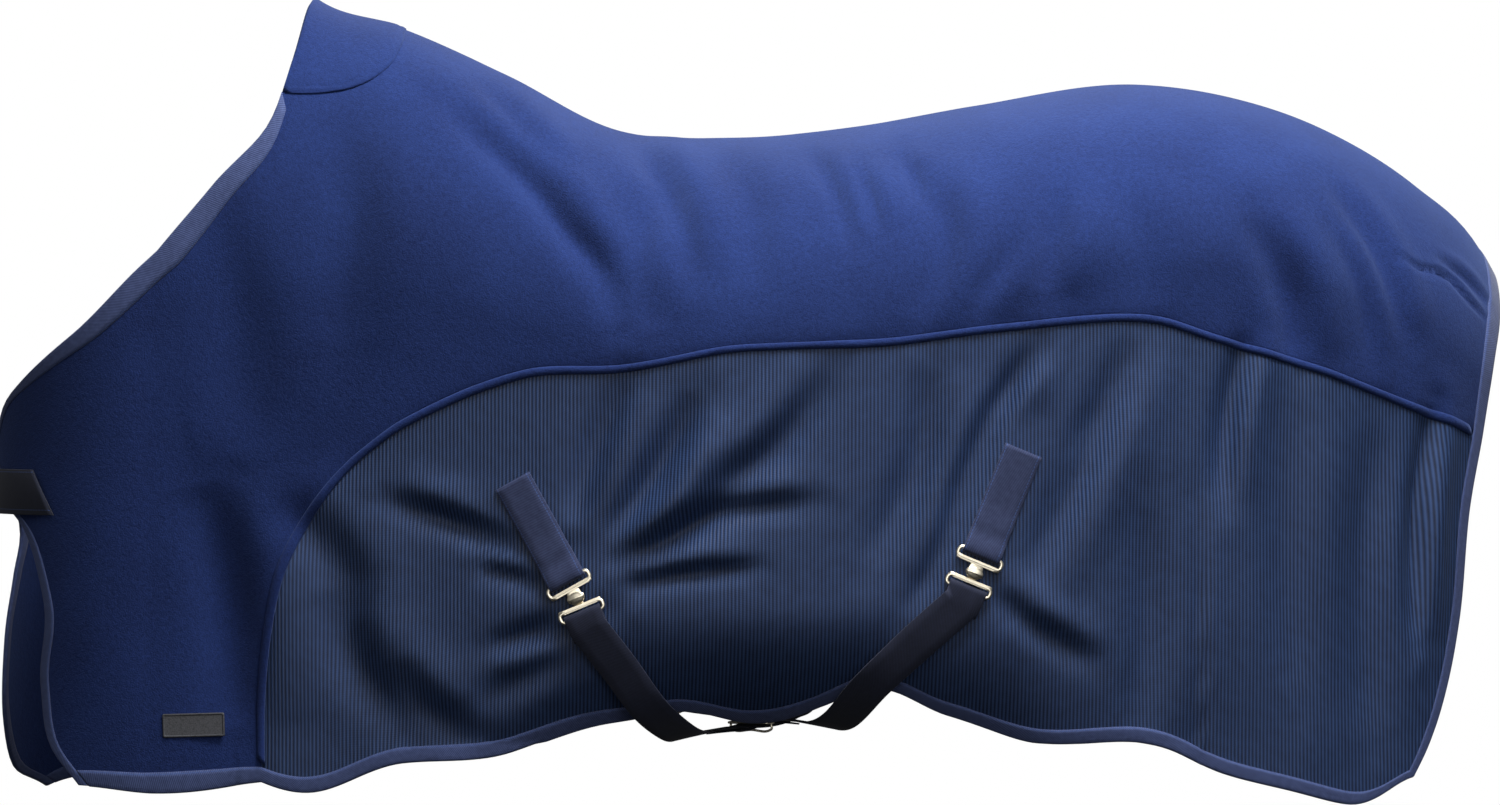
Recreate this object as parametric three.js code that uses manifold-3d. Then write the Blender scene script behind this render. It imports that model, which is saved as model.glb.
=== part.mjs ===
// Fleece cooler for a horse: fleece upper, ribbed jersey lower panels, bound edges, a chest strap and
// two cross surcingles with slot plates and T-hooks. Millimetres, +Z up, -X towards the horse's head,
// -Y the near (left) side. The origin lies on the spine at the lowest point of the back.
import * as THREE from "three";
import { mergeVertices } from "three/addons/utils/BufferGeometryUtils.js";
import Module from "manifold-3d";

const wasm = await Module();
wasm.setup();

// ---- driving sizes -------------------------------------------------------------------------------
const RUG_LENGTH = 1774;
const RUG_DROP = 770;
const BODY_WIDTH = 660;
const FLEECE_THICKNESS = 3;
const JERSEY_THICKNESS = 1.6;
const GAP = 0.3;
const TAPE_THICKNESS = 1;
const BINDING_WIDTH = 16;
const WELT_WIDTH = 9;
const WELT_HEIGHT = 2.5;
const WELT_LIFT = 0.7;
const WELT_EDGE = 1;
const WELT_END_GAP = 6;
const PATCH_THICKNESS = 2.5;
const WEBBING_WIDTH = 44;
const WEBBING_THICKNESS = 2;
const STRAP_LIFT = 6;
const HEM_LIFT = 14;
const END_LIFT = 2.4;
const END_PATCH_GAP = 2;
const TAB_RETURN = 34;
const TAB_LEAD = 26;
const TAB_CLIMB = 30;
const CROWN_CLIMB = 24;
const TAB_LAST_CELL = 4;
const STRAP_RETURN = 26;
const STRAP_LEAVE = 14;
const STRAP_LEAVE_DROP = 0.6;
const FRONT_TAB_LENGTH = 128;
const REAR_TAB_LENGTH = 126;
const OFF_PATCH_SIZE = 60;
const CHEST_STRAP_WIDTH = 52;
const CHEST_STRAP_THICKNESS = 2.5;
const CHEST_STRAP_SLANT = 5;
const PAD_THICKNESS = 0.9;
const PAD_LENGTH = 17;
const PAD_MARGIN = 5;
const PAD_END_ANGLE = 1;
const BAR_DIAMETER = 4;
const BAR_CLEARANCE = 0.5;
const PLATE_THICKNESS = 2.5;
const LINK_WIDTH = 3;
const LINK_CLEARANCE = 1.9;
const LINK_OVERLAP = 1;
const WINDOW_HEIGHT = 6.5;
const TONGUE_WIDTH = 17;
const TONGUE_LENGTH = 17;
const SLOT_WIDTH = 5.2;
const SLOT_LENGTH = 8;
const SLOT_MARGIN = 3;
const HOOK_GAP = 4;
const POST_CLEARANCE = 0.9;
const SWIVEL_PLAY = 1.8;
const HEAD_LENGTH = 21;
const HEAD_WIDTH = 13;
const HEAD_THICKNESS = 2.5;
const NECK_THICKNESS = 2;
const NECK_WIDTH = 12;
const JOG_GAP = 1;
const SLIDER_WIRE = 3;
const SLIDER_LENGTH = 24;
const SLIDER_CLEARANCE = 0.9;
const SLIDER_SIDE_PLAY = 1;
const BADGE_WIDTH = 71;
const BADGE_HEIGHT = 27;
const BADGE_THICKNESS = 1.6;
const BADGE_LIFT = 0.8;
const BADGE_CENTRE = [-648, -680];
const BADGE_TURN = 0.03;

// The outlines below are drawn for this length, drop and width, and scale with the driving sizes.
const DRAWN = { length: 1774, drop: 770, width: 660 };
const SCALE_X = RUG_LENGTH / DRAWN.length;
const SCALE_Z = RUG_DROP / DRAWN.drop;
const SCALE_Y = BODY_WIDTH / DRAWN.width;

// ---- the horse's shape under the rug -------------------------------------------------------------
// [station x, height z] of the spine, continued up the neck ahead of the withers.
const CREST = [
  [-900, 560], [-700, 350], [-600, 245], [-514, 159], [-411, 127], [-282, 69], [-167, 11], [-21, 0],
  [127, 14], [267, 39], [461, 65], [563, 52], [677, 15], [790, -52], [863, -117], [889, -159],
];
// [station x, half width] and [station x, depth of the rounded top].
const HALF_WIDTH = [
  [-700, 190], [-600, 202], [-500, 222], [-300, 270], [0, 320], [250, 330], [450, 322], [650, 292],
  [800, 238], [889, 160],
];
const ROUND_DEPTH = [[-600, 420], [-500, 350], [-300, 300], [0, 260], [300, 230], [600, 220], [889, 200]];
const CHEST_X = -700;
const CHEST_LENGTH = 185;
const CHEST_HALF_WIDTH = 190;
const BELLY_AXIS_Z = -430;
// Between the surcingles the lower edge is drawn in under the belly.
const TUCK = { share: 0.2, startZ: -540, depth: 120, centreX: 0, reach: 260 };

// ---- outlines, as [x, z] seen from the side ------------------------------------------------------
const NECK_EDGE = [
  [-884, -372], [-877, -330], [-850, -290], [-791, -239], [-699, -150], [-627, -66], [-561, 10],
  [-540, 75], [-514, 159],
];
const NEAR_FLAP_EDGE = [
  [-780, -750], [-811, -709], [-823, -640], [-821, -535], [-842, -466], [-873, -425], [-884, -372],
];
const OFF_FLAP_EDGE = [
  [-840, -774], [-874, -745], [-883, -680], [-882, -600], [-874, -520], [-868, -460], [-877, -415],
  [-884, -372],
];
const NEAR_FRONT_HEM = [[-780, -750], [-700, -757], [-571, -743]];
const OFF_FRONT_HEM = [[-840, -774], [-700, -763], [-571, -743]];
const SEAM = [
  [-571, -743], [-571, -654], [-564, -580], [-545, -497], [-515, -438], [-469, -382], [-435, -354],
  [-381, -322], [-322, -296], [-255, -278], [-78, -259], [145, -244], [363, -219], [437, -220],
  [504, -240], [664, -289], [739, -317], [832, -355],
];
const REAR_HEM = [
  [-571, -743], [-460, -736], [-315, -714], [-170, -676], [-100, -663], [-14, -676], [60, -657],
  [111, -636], [204, -666], [295, -695], [451, -703], [511, -730], [586, -750], [664, -769], [739, -740],
];
const UPPER_REAR_EDGE = [[889, -159], [868, -215], [852, -264], [832, -355]];
const LOWER_REAR_EDGE = [[832, -355], [814, -435], [800, -560], [785, -630], [755, -710], [739, -740]];

// ---- smooth curves -------------------------------------------------------------------------------
// Cubic curve through (knots, values) whose slope at each knot comes from its two neighbours.
function slopes(knots, values) {
  const last = knots.length - 1;
  return knots.map((_, i) => {
    if (i === 0) return (values[1] - values[0]) / (knots[1] - knots[0]);
    if (i === last) return (values[last] - values[last - 1]) / (knots[last] - knots[last - 1]);
    const before = knots[i] - knots[i - 1];
    const after = knots[i + 1] - knots[i];
    const rise = before * before * (values[i + 1] - values[i]) + after * after * (values[i] - values[i - 1]);
    return rise / (before * after * (before + after));
  });
}

function smoothValue(knots, values, grades, at) {
  const last = knots.length - 2;
  let i = 0;
  while (i < last && at > knots[i + 1]) i += 1;
  const span = knots[i + 1] - knots[i];
  const t = (at - knots[i]) / span;
  if (t < 0) return values[i] + grades[i] * (at - knots[i]);
  if (t > 1) return values[i + 1] + grades[i + 1] * (at - knots[i + 1]);
  const t2 = t * t;
  const t3 = t2 * t;
  return (2 * t3 - 3 * t2 + 1) * values[i] + (t3 - 2 * t2 + t) * span * grades[i]
    + (3 * t2 - 2 * t3) * values[i + 1] + (t3 - t2) * span * grades[i + 1];
}

function profile(points, scaleAcross, scaleValue) {
  const knots = points.map((p) => p[0] * scaleAcross);
  const values = points.map((p) => p[1] * scaleValue);
  const grades = slopes(knots, values);
  return (at) => smoothValue(knots, values, grades, at);
}

const crestHeight = profile(CREST, SCALE_X, SCALE_Z);
const bodyHalfWidth = profile(HALF_WIDTH, SCALE_X, SCALE_Y);
const roundDepth = profile(ROUND_DEPTH, SCALE_X, SCALE_Z);
const chestX = CHEST_X * SCALE_X;
const chestLength = CHEST_LENGTH * SCALE_X;
const chestHalfWidth = CHEST_HALF_WIDTH * SCALE_Y;
const chestRadius = (chestLength + chestHalfWidth) / 2;

// ---- the developed cloth -------------------------------------------------------------------------
// A point of the cloth is (along, girth): along runs nose to tail and girth runs from the spine down.
// The chest is an ellipse round which "along" becomes an angle, and the top is a quarter ellipse.
function station(along) {
  if (along >= chestX) return { x: along, half: bodyHalfWidth(along) };
  const angle = (chestX - along) / chestRadius;
  return { x: chestX - chestLength * Math.sin(angle), half: chestHalfWidth * Math.cos(angle) };
}

function topArc(x) {
  const depth = roundDepth(x);
  const half = bodyHalfWidth(Math.max(x, chestX));
  return { depth, arc: (Math.PI / 2) * Math.sqrt((depth * depth + half * half) / 2) };
}

function tuck(x, z) {
  const fall = THREE.MathUtils.clamp((TUCK.startZ * SCALE_Z - z) / (TUCK.depth * SCALE_Z), 0, 1.3);
  const nearness = Math.exp(-(((x - TUCK.centreX * SCALE_X) / (TUCK.reach * SCALE_X)) ** 2));
  return TUCK.share * nearness * fall * fall;
}

function bodyPoint(along, girth) {
  const { x, half } = station(along);
  const { depth, arc } = topArc(x);
  if (girth > arc) {
    const z = crestHeight(x) - depth - (girth - arc);
    return new THREE.Vector3(x, -half * (1 - tuck(x, z)), z);
  }
  const turn = (girth / arc) * (Math.PI / 2);
  return new THREE.Vector3(x, -half * Math.sin(turn), crestHeight(x) - depth * (1 - Math.cos(turn)));
}

function bodyNormal(along, girth) {
  const step = 0.5;
  const across = bodyPoint(along + step, girth).sub(bodyPoint(along - step, girth));
  const down = bodyPoint(along, girth + step).sub(bodyPoint(along, girth - step));
  return down.cross(across).normalize();
}

// The cloth point that shows at (x, z) from the side.
function develop([drawnX, drawnZ]) {
  const x = drawnX * SCALE_X;
  const fall = crestHeight(x) - drawnZ * SCALE_Z;
  const { depth, arc } = topArc(x);
  const cosine = 1 - Math.max(fall, 0) / depth;
  const girth = fall > depth ? arc + fall - depth : (Math.acos(cosine) / (Math.PI / 2)) * arc;
  const along = x >= chestX ? x : chestX - Math.asin(Math.min(1, (chestX - x) / chestLength)) * chestRadius;
  return new THREE.Vector2(along, girth);
}

// A smooth outline on the developed cloth, read by its length.
function outline(points) {
  const knots = [0];
  for (let i = 1; i < points.length; i += 1) knots.push(knots[i - 1] + points[i].distanceTo(points[i - 1]));
  const xs = points.map((p) => p.x);
  const ys = points.map((p) => p.y);
  const gradeX = slopes(knots, xs);
  const gradeY = slopes(knots, ys);
  const at = (s) => new THREE.Vector2(smoothValue(knots, xs, gradeX, s), smoothValue(knots, ys, gradeY, s));
  return { length: knots[knots.length - 1], at };
}

// Positions along a length: cells of equal size, with the binding's rows at the ends that carry one.
const BINDING_ROWS = [BINDING_WIDTH / 2, BINDING_WIDTH, BINDING_WIDTH + GAP * 1.5];
function spaced(length, cells, boundStart, boundEnd) {
  const from = boundStart ? BINDING_ROWS[2] : 0;
  const to = boundEnd ? length - BINDING_ROWS[2] : length;
  const list = boundStart ? [0, ...BINDING_ROWS.slice(0, 2)] : [];
  for (let i = 0; i <= cells; i += 1) list.push(from + ((to - from) * i) / cells);
  if (boundEnd) list.push(length - BINDING_ROWS[1], length - BINDING_ROWS[0], length);
  return list;
}

const samples = (curve, list) => list.map((s) => curve.at(s));

// ---- meshes --------------------------------------------------------------------------------------
function geometryFrom(vertices, faces) {
  const geometry = new THREE.BufferGeometry();
  const numbers = vertices.flatMap((v) => v.toArray());
  geometry.setAttribute("position", new THREE.Float32BufferAttribute(numbers, 3));
  geometry.setIndex(faces.flat());
  geometry.computeVertexNormals();
  return geometry;
}

// A closed sweep: each ring is a closed loop of points, and the caps are quads between ring points.
// turned(i, j) says which way the quad from ring i and its point j is halved.
function sweepRings(rings, capQuads, turned = () => false) {
  const size = rings[0].length;
  const faces = [];
  for (let i = 0; i + 1 < rings.length; i += 1) {
    for (let j = 0; j < size; j += 1) {
      const a = i * size + j;
      const b = i * size + ((j + 1) % size);
      if (turned(i, j)) faces.push([a, b, a + size], [b, b + size, a + size]);
      else faces.push([a, b, b + size], [a, b + size, a + size]);
    }
  }
  const end = (rings.length - 1) * size;
  for (const [a, b, c, d] of capQuads) {
    faces.push([a, c, b], [a, d, c]);
    faces.push([end + a, end + b, end + c], [end + a, end + c, end + d]);
  }
  return outward(geometryFrom(rings.flat(), faces));
}

// Turns a closed mesh the right way out, by the sign of its volume.
function outward(geometry) {
  const position = geometry.getAttribute("position");
  const index = geometry.getIndex().array;
  const [a, b, c] = [new THREE.Vector3(), new THREE.Vector3(), new THREE.Vector3()];
  let volume = 0;
  for (let i = 0; i < index.length; i += 3) {
    a.fromBufferAttribute(position, index[i]);
    b.fromBufferAttribute(position, index[i + 1]);
    c.fromBufferAttribute(position, index[i + 2]);
    volume += a.dot(b.cross(c));
  }
  if (volume < 0) {
    for (let i = 0; i < index.length; i += 3) [index[i], index[i + 1]] = [index[i + 1], index[i]];
  }
  geometry.computeVertexNormals();
  return geometry;
}

// A shell of even thickness on a grid of { point, normal }, from one height above it to another.
function shell(grid, low, high) {
  const rows = grid.length;
  const columns = grid[0].length;
  const raised = (g, height) => g.point.clone().addScaledVector(g.normal, height);
  const level = (height) => grid.flatMap((row) => row.map((g) => raised(g, height)));
  const vertices = [...level(high), ...level(low)];
  const under = rows * columns;
  const faces = [];
  for (let i = 0; i + 1 < rows; i += 1) {
    for (let j = 0; j + 1 < columns; j += 1) {
      const a = i * columns + j;
      const [b, c, d] = [a + 1, a + columns + 1, a + columns];
      faces.push([a, b, c], [a, c, d]);
      faces.push([under + a, under + c, under + b], [under + a, under + d, under + c]);
    }
  }
  const rim = [];
  for (let j = 0; j + 1 < columns; j += 1) rim.push([j + 1, j]);
  for (let i = 0; i + 1 < rows; i += 1) rim.push([i * columns, (i + 1) * columns]);
  for (let j = 0; j + 1 < columns; j += 1) rim.push([(rows - 1) * columns + j, (rows - 1) * columns + j + 1]);
  for (let i = rows - 1; i > 0; i -= 1) rim.push([(i + 1) * columns - 1, i * columns - 1]);
  for (const [a, b] of rim) faces.push([a, b, under + b], [a, under + b, under + a]);
  return outward(geometryFrom(vertices, faces));
}

const lift = (flat, side) => {
  const point = bodyPoint(flat.x, flat.y);
  const normal = bodyNormal(flat.x, flat.y);
  if (side > 0) {
    point.y *= -1;
    normal.y *= -1;
  }
  return { point, normal };
};

// ---- one side of the rug -------------------------------------------------------------------------
const SEAM_CORNER = 10;
const FLAP_CELLS = 5;
const NECK_CELLS = 8;
const BACK_CELLS = 20;
const CROSS_CELLS = 10;
const FLAP_ON_SEAM = 252;
const NECK_ON_SEAM = 300;

function buildSide(side) {
  const flapEdge = outline((side < 0 ? NEAR_FLAP_EDGE : OFF_FLAP_EDGE).map(develop));
  const neckEdge = outline(NECK_EDGE.map(develop));
  const frontHem = outline((side < 0 ? NEAR_FRONT_HEM : OFF_FRONT_HEM).map(develop));
  const seam = outline(SEAM.map(develop));
  const rearHem = outline(REAR_HEM.map(develop));
  const upperRear = outline(UPPER_REAR_EDGE.map(develop));
  const lowerRear = outline(LOWER_REAR_EDGE.map(develop));
  const withers = develop(NECK_EDGE[NECK_EDGE.length - 1]);
  const tail = develop(UPPER_REAR_EDGE[0]);
  const back = { length: tail.x - withers.x, at: (s) => new THREE.Vector2(withers.x + s, GAP / 2) };

  const flapStops = spaced(flapEdge.length, FLAP_CELLS, true, false);
  const neckStops = spaced(neckEdge.length, NECK_CELLS, false, false).slice(1);
  const backStops = spaced(back.length, BACK_CELLS, false, true).slice(1);
  const outer = [
    ...samples(flapEdge, flapStops), ...samples(neckEdge, neckStops), ...samples(back, backStops),
  ];
  outer.forEach((p) => p.setY(Math.max(p.y, GAP / 2)));
  const neckOnSeam = FLAP_ON_SEAM + NECK_ON_SEAM;
  const seamStops = [
    ...spaced(FLAP_ON_SEAM * SCALE_Z, FLAP_CELLS, true, false),
    ...spaced(NECK_ON_SEAM * SCALE_Z, NECK_CELLS, false, false).slice(1)
      .map((s) => s + FLAP_ON_SEAM * SCALE_Z),
    ...spaced(seam.length - neckOnSeam * SCALE_Z, BACK_CELLS, false, true).slice(1)
      .map((s) => s + neckOnSeam * SCALE_Z),
  ];
  const seamPoints = samples(seam, seamStops);

  // Fleece: straight rows from the outer edge to the seam, eased onto the front hem and the rear edge.
  const columns = outer.length;
  const flatFleece = outer.map((start, i) => {
    const end = seamPoints[i];
    const length = start.distanceTo(end);
    return spaced(length, CROSS_CELLS, true, false).map((d, j, all) => {
      const t = j === all.length - 1 ? 1 - GAP / 2 / length : d / length;
      const flat = start.clone().lerp(end, t);
      const nearFront = (1 - i / (columns - 1)) ** 8;
      const nearRear = (i / (columns - 1)) ** 8;
      const sagFront = frontHem.at(t * frontHem.length).sub(outer[0].clone().lerp(seamPoints[0], t));
      const lastOuter = outer[columns - 1];
      const straightRear = lastOuter.clone().lerp(seamPoints[columns - 1], t);
      const sagRear = upperRear.at(t * upperRear.length).sub(straightRear);
      return flat.addScaledVector(sagFront, nearFront).addScaledVector(sagRear, nearRear);
    });
  });
  flatFleece.forEach((line) => line[0].setY(Math.max(line[0].y, GAP / 2)));

  // Jersey: a four-sided patch between the two runs of the seam, the hem and the lower rear edge.
  const left = seamPoints.slice(0, SEAM_CORNER + 1).reverse();
  const top = seamPoints.slice(SEAM_CORNER);
  const rows = left.length;
  const hemStops = spaced(rearHem.length, top.length - 4, false, true);
  const bottom = samples(rearHem, hemStops);
  const right = samples(lowerRear, spaced(lowerRear.length, rows - 4, false, true));
  const flatJersey = top.map((above, i) => {
    const u = hemStops[i] / rearHem.length;
    return left.map((before, j) => {
      const v = 1 - seamStops[SEAM_CORNER - j] / seamStops[SEAM_CORNER];
      const blend = (a, b, t) => a.clone().multiplyScalar(1 - t).addScaledVector(b, t);
      const upperCorners = blend(top[0], top[top.length - 1], u);
      const corners = blend(upperCorners, blend(left[rows - 1], right[rows - 1], u), v);
      return blend(above, bottom[i], v).add(blend(before, right[j], u)).sub(corners);
    });
  });
  // The jersey starts half a gap inside the seam.
  const inset = (from, to) => to.clone().sub(from).setLength(GAP / 2);
  const moved = flatJersey.map((line) => line.map((p) => p.clone()));
  flatJersey.forEach((line, i) => moved[i][0].add(inset(line[0], line[1])));
  flatJersey[0].forEach((p, j) => moved[0][j].add(inset(p, flatJersey[1][j])));

  const fleece = flatFleece.map((line) => line.map((p) => lift(p, side)));
  const jersey = moved.map((line) => line.map((p) => lift(p, side)));
  return { side, fleece, jersey, seamStops, seam, neckStart: flapStops.length - 1 };
}

// A folded tape round an edge. Each stop lists the cloth's own grid points from the edge inwards. Its
// quads are halved as the cloth's are, which run the other way from the stop "reversedFrom".
const INWARD_FACES = [3, 4, 9, 10];
function binding(stops, clothThickness, reversedFrom) {
  const slot = clothThickness / 2 + GAP;
  const face = slot + TAPE_THICKNESS;
  const rings = stops.map(([edge, middle, inner]) => {
    const out = edge.point.clone().sub(middle.point).normalize();
    const place = (g, height, reach) => (
      g.point.clone().addScaledVector(g.normal, height).addScaledVector(out, reach));
    return [
      place(edge, face, GAP + TAPE_THICKNESS), place(middle, face, 0), place(inner, face, 0),
      place(inner, slot, 0), place(middle, slot, 0), place(edge, slot, GAP),
      place(edge, -slot, GAP), place(middle, -slot, 0), place(inner, -slot, 0),
      place(inner, -face, 0), place(middle, -face, 0), place(edge, -face, GAP + TAPE_THICKNESS),
    ];
  });
  const turned = (i, j) => INWARD_FACES.includes(j) !== i >= reversedFrom;
  const caps = [[0, 1, 4, 5], [1, 2, 3, 4], [11, 0, 5, 6], [11, 6, 7, 10], [10, 7, 8, 9]];
  return sweepRings(rings, caps, turned);
}

// The stops with the last one drawn back by a gap.
function shortened(stops) {
  const [before, last] = stops.slice(-2);
  const share = GAP / last[0].point.distanceTo(before[0].point);
  const end = last.map((g, k) => ({
    point: g.point.clone().lerp(before[k].point, share),
    normal: g.normal.clone().lerp(before[k].normal, share).normalize(),
  }));
  return [...stops.slice(0, -1), end];
}

// A ribbon of rectangular section along a path, with the direction across it given at each point.
function ribbon(path, across, width, thickness) {
  const rings = path.map((point, i) => {
    const before = path[Math.max(i - 1, 0)];
    const after = path[Math.min(i + 1, path.length - 1)];
    const tangent = after.clone().sub(before).normalize();
    const side = across[i].clone().addScaledVector(tangent, -across[i].dot(tangent)).normalize();
    const up = tangent.cross(side).normalize();
    const corner = (s, u) => (
      point.clone().addScaledVector(side, (s * width) / 2).addScaledVector(up, (u * thickness) / 2));
    return [corner(-1, -1), corner(1, -1), corner(1, 1), corner(-1, 1)];
  });
  return sweepRings(rings, [[0, 1, 2, 3]]);
}

// ---- booleans ------------------------------------------------------------------------------------
function solidOf(geometry) {
  const bare = geometry.index ? geometry.clone() : geometry;
  bare.deleteAttribute("normal");
  bare.deleteAttribute("uv");
  const merged = mergeVertices(bare, 1e-4);
  return new wasm.Manifold(new wasm.Mesh({
    numProp: 3,
    vertProperties: new Float32Array(merged.getAttribute("position").array),
    triVerts: new Uint32Array(merged.getIndex().array),
  }));
}

function geometryOf(solid) {
  const mesh = solid.getMesh();
  const geometry = new THREE.BufferGeometry();
  geometry.setAttribute("position", new THREE.BufferAttribute(new Float32Array(mesh.vertProperties), 3));
  geometry.setIndex(Array.from(mesh.triVerts));
  geometry.computeVertexNormals();
  return geometry;
}

function joined(geometries) {
  return geometryOf(geometries.map(solidOf).reduce((sum, next) => sum.add(next)));
}

// ---- the tree ------------------------------------------------------------------------------------
const rug = new THREE.Group();
const COLORS = {
  fleece: "#2f468c", jersey: "#31476b", tape: "#46507c",
  webbing: "#262b48", metal: "#d8cdb6", badge: "#25272d",
};

function addMesh(name, geometry, finish) {
  const metal = finish === "metal";
  const material = new THREE.MeshStandardMaterial({
    color: COLORS[finish],
    roughness: metal ? 0.3 : 0.9,
    metalness: metal ? 1 : 0,
  });
  const mesh = new THREE.Mesh(geometry, material);
  mesh.name = name;
  rug.add(mesh);
  return mesh;
}

// Panels, bindings and welts, near side then off side.
const NECK_BARE_CELLS = 2;
const PATCH_ROWS = 8;
const PATCH_BACK_CELLS = 3;
// The patch's lower and rear edge, as [x, z] seen from the side, closed above the spine.
const PATCH_EDGE = [
  [-600, 36], [-542, 40], [-500, 41], [-472, 46], [-447, 57], [-428, 73], [-416, 94], [-409, 122],
  [-409, 300], [-600, 300],
];
const patchBase = FLEECE_THICKNESS / 2 + GAP;
const spineRows = [];
for (const side of [-1, 1]) {
  const word = side < 0 ? "near" : "off";
  const { fleece, jersey, seamStops, seam, neckStart } = buildSide(side);
  const half = FLEECE_THICKNESS / 2;
  addMesh(`fleece_panel_${word}`, shell(fleece, -half, half), "fleece");
  addMesh(`jersey_panel_${word}`, shell(jersey, -JERSEY_THICKNESS / 2, JERSEY_THICKNESS / 2), "jersey");

  const frontEdge = fleece.map((line) => line.slice(0, 3));
  const neckEnd = neckStart + NECK_CELLS - NECK_BARE_CELLS;
  const flapStops = shortened(frontEdge.slice(0, neckStart + 1));
  const neckStops = frontEdge.slice(neckStart, neckEnd + 1);
  addMesh(`flap_binding_${word}`, binding(flapStops, FLEECE_THICKNESS, Infinity), "tape");
  addMesh(`neck_binding_${word}`, binding(neckStops, FLEECE_THICKNESS, Infinity), "tape");

  const frontHem = fleece[0].slice(3).map((edge, k) => [edge, fleece[1][k + 3], fleece[2][k + 3]]);
  const lastRow = jersey[0].length - 1;
  const rearHem = jersey.slice(0, -3).map((line) => [line[lastRow], line[lastRow - 1], line[lastRow - 2]]);
  const hemStops = [...frontHem, ...rearHem];
  addMesh(`hem_binding_${word}`, binding(hemStops, FLEECE_THICKNESS, frontHem.length), "tape");

  const rear = (grid) => {
    const [inner, middle, last] = grid.slice(-3);
    return last.map((edge, k) => [edge, middle[k], inner[k]]);
  };
  addMesh(`tail_binding_${word}`, binding([...rear(fleece), ...rear(jersey)], FLEECE_THICKNESS, 0), "tape");

  // The welt follows the seam between the hem binding and the tail binding.
  const stops = [
    seamStops[3] + WELT_END_GAP, ...seamStops.slice(4, -4), seamStops[seamStops.length - 4] - WELT_END_GAP,
  ];
  const base = half + WELT_LIFT;
  const rings = stops.map((s) => {
    const middle = seam.at(s);
    const ahead = seam.at(s + 1).sub(seam.at(s - 1)).normalize();
    const aside = new THREE.Vector2(-ahead.y, ahead.x);
    const flat = (reach) => lift(middle.clone().addScaledVector(aside, reach), side);
    const at = (g, height) => g.point.clone().addScaledVector(g.normal, height);
    const [one, centre, two] = [flat(-WELT_WIDTH / 2), flat(0), flat(WELT_WIDTH / 2)];
    return [
      at(one, base), at(centre, base), at(two, base),
      at(two, base + WELT_EDGE), at(centre, base + WELT_HEIGHT), at(one, base + WELT_EDGE),
    ];
  });
  addMesh(`seam_welt_${word}`, sweepRings(rings, [[0, 1, 4, 5], [1, 2, 3, 4]]), "fleece");

  // Withers patch: over the corner where the neck edge meets the spine, on the panel's own grid.
  const corner = neckStart + NECK_CELLS;
  const patchGrid = fleece.slice(neckEnd, corner + PATCH_BACK_CELLS + 1)
    .map((line) => line.slice(0, PATCH_ROWS));
  const patchLines = [shiftedLine(patchGrid[0], patchGrid[1], BINDING_WIDTH / 8), ...patchGrid.slice(1)];
  const blank = solidOf(shell(patchLines, patchBase, patchBase + PATCH_THICKNESS));
  addMesh(`withers_patch_${word}`, geometryOf(blank.intersect(solidOf(patchPrism()))), "fleece");
  spineRows.push(fleece.slice(corner + 1, -3).map((line) => line.slice(0, 2)));
}

// The withers patch's outline, carried right through from side to side.
function patchPrism() {
  const shape = new THREE.Shape(PATCH_EDGE.map(([x, z]) => new THREE.Vector2(x * SCALE_X, z * SCALE_Z)));
  const geometry = new THREE.ExtrudeGeometry(shape, { depth: BODY_WIDTH, bevelEnabled: false });
  geometry.translate(0, 0, -BODY_WIDTH / 2);
  geometry.rotateX(Math.PI / 2);
  return geometry;
}

// A grid line moved a set distance towards the next one.
function shiftedLine(line, next, distance) {
  return line.map((g, k) => {
    const share = distance / g.point.distanceTo(next[k].point);
    const point = g.point.clone().lerp(next[k].point, share);
    return { point, normal: g.normal.clone().lerp(next[k].normal, share) };
  });
}

// Spine tape: inside, under the seam between the two fleece panels.
const [nearSpine, offSpine] = spineRows;
const spineGrid = nearSpine.map(([edge, inner], i) => [inner, edge, ...offSpine[i]]);
const spineTop = -FLEECE_THICKNESS / 2 - 2 * GAP;
addMesh("spine_tape", shell(spineGrid, spineTop - TAPE_THICKNESS, spineTop), "tape");

// A frame on the cloth: X across the piece, Y down along it, Z out of the cloth.
function surfaceFrame({ point, normal }, turn) {
  const down = new THREE.Vector3(Math.sin(turn), 0, -Math.cos(turn));
  down.addScaledVector(normal, -down.dot(normal)).normalize();
  const across = down.clone().cross(normal).normalize();
  return new THREE.Matrix4().makeBasis(across, down, normal).setPosition(point);
}

function placed(name, geometry, matrix, finish) {
  const mesh = addMesh(name, geometry, finish);
  mesh.applyMatrix4(matrix);
  return mesh;
}

// Badge: on the near fleece panel, low at the front.
const badgeHeight = patchBase + BADGE_LIFT + BADGE_THICKNESS / 2;
const badgeBlank = box(BADGE_WIDTH, BADGE_HEIGHT, BADGE_THICKNESS, 0, 0, badgeHeight);
placed("badge", badgeBlank, surfaceFrame(lift(develop(BADGE_CENTRE), -1), BADGE_TURN), "badge");

// ---- chest strap ---------------------------------------------------------------------------------
// It runs round the front of the chest from the off flap, where it is sewn, to the near flap.
const STRAP_Z = -416;
const NEAR_END_ANGLE = 40;
const OFF_END_ANGLE = 138;
const CHEST_STEPS = 18;
const bindingFace = FLEECE_THICKNESS / 2 + GAP + TAPE_THICKNESS;
const hookPadBase = bindingFace + 2 * GAP;
const chestStrapBase = hookPadBase + PAD_THICKNESS + 4 * GAP;

function chestPoint(degrees, height, offset) {
  const angle = THREE.MathUtils.degToRad(degrees);
  const normal = new THREE.Vector3(
    -Math.sin(angle) / chestLength, -Math.cos(angle) / chestHalfWidth, 0).normalize();
  const point = new THREE.Vector3(
    chestX - chestLength * Math.sin(angle), -chestHalfWidth * Math.cos(angle), height);
  return point.addScaledVector(normal, offset);
}

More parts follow.
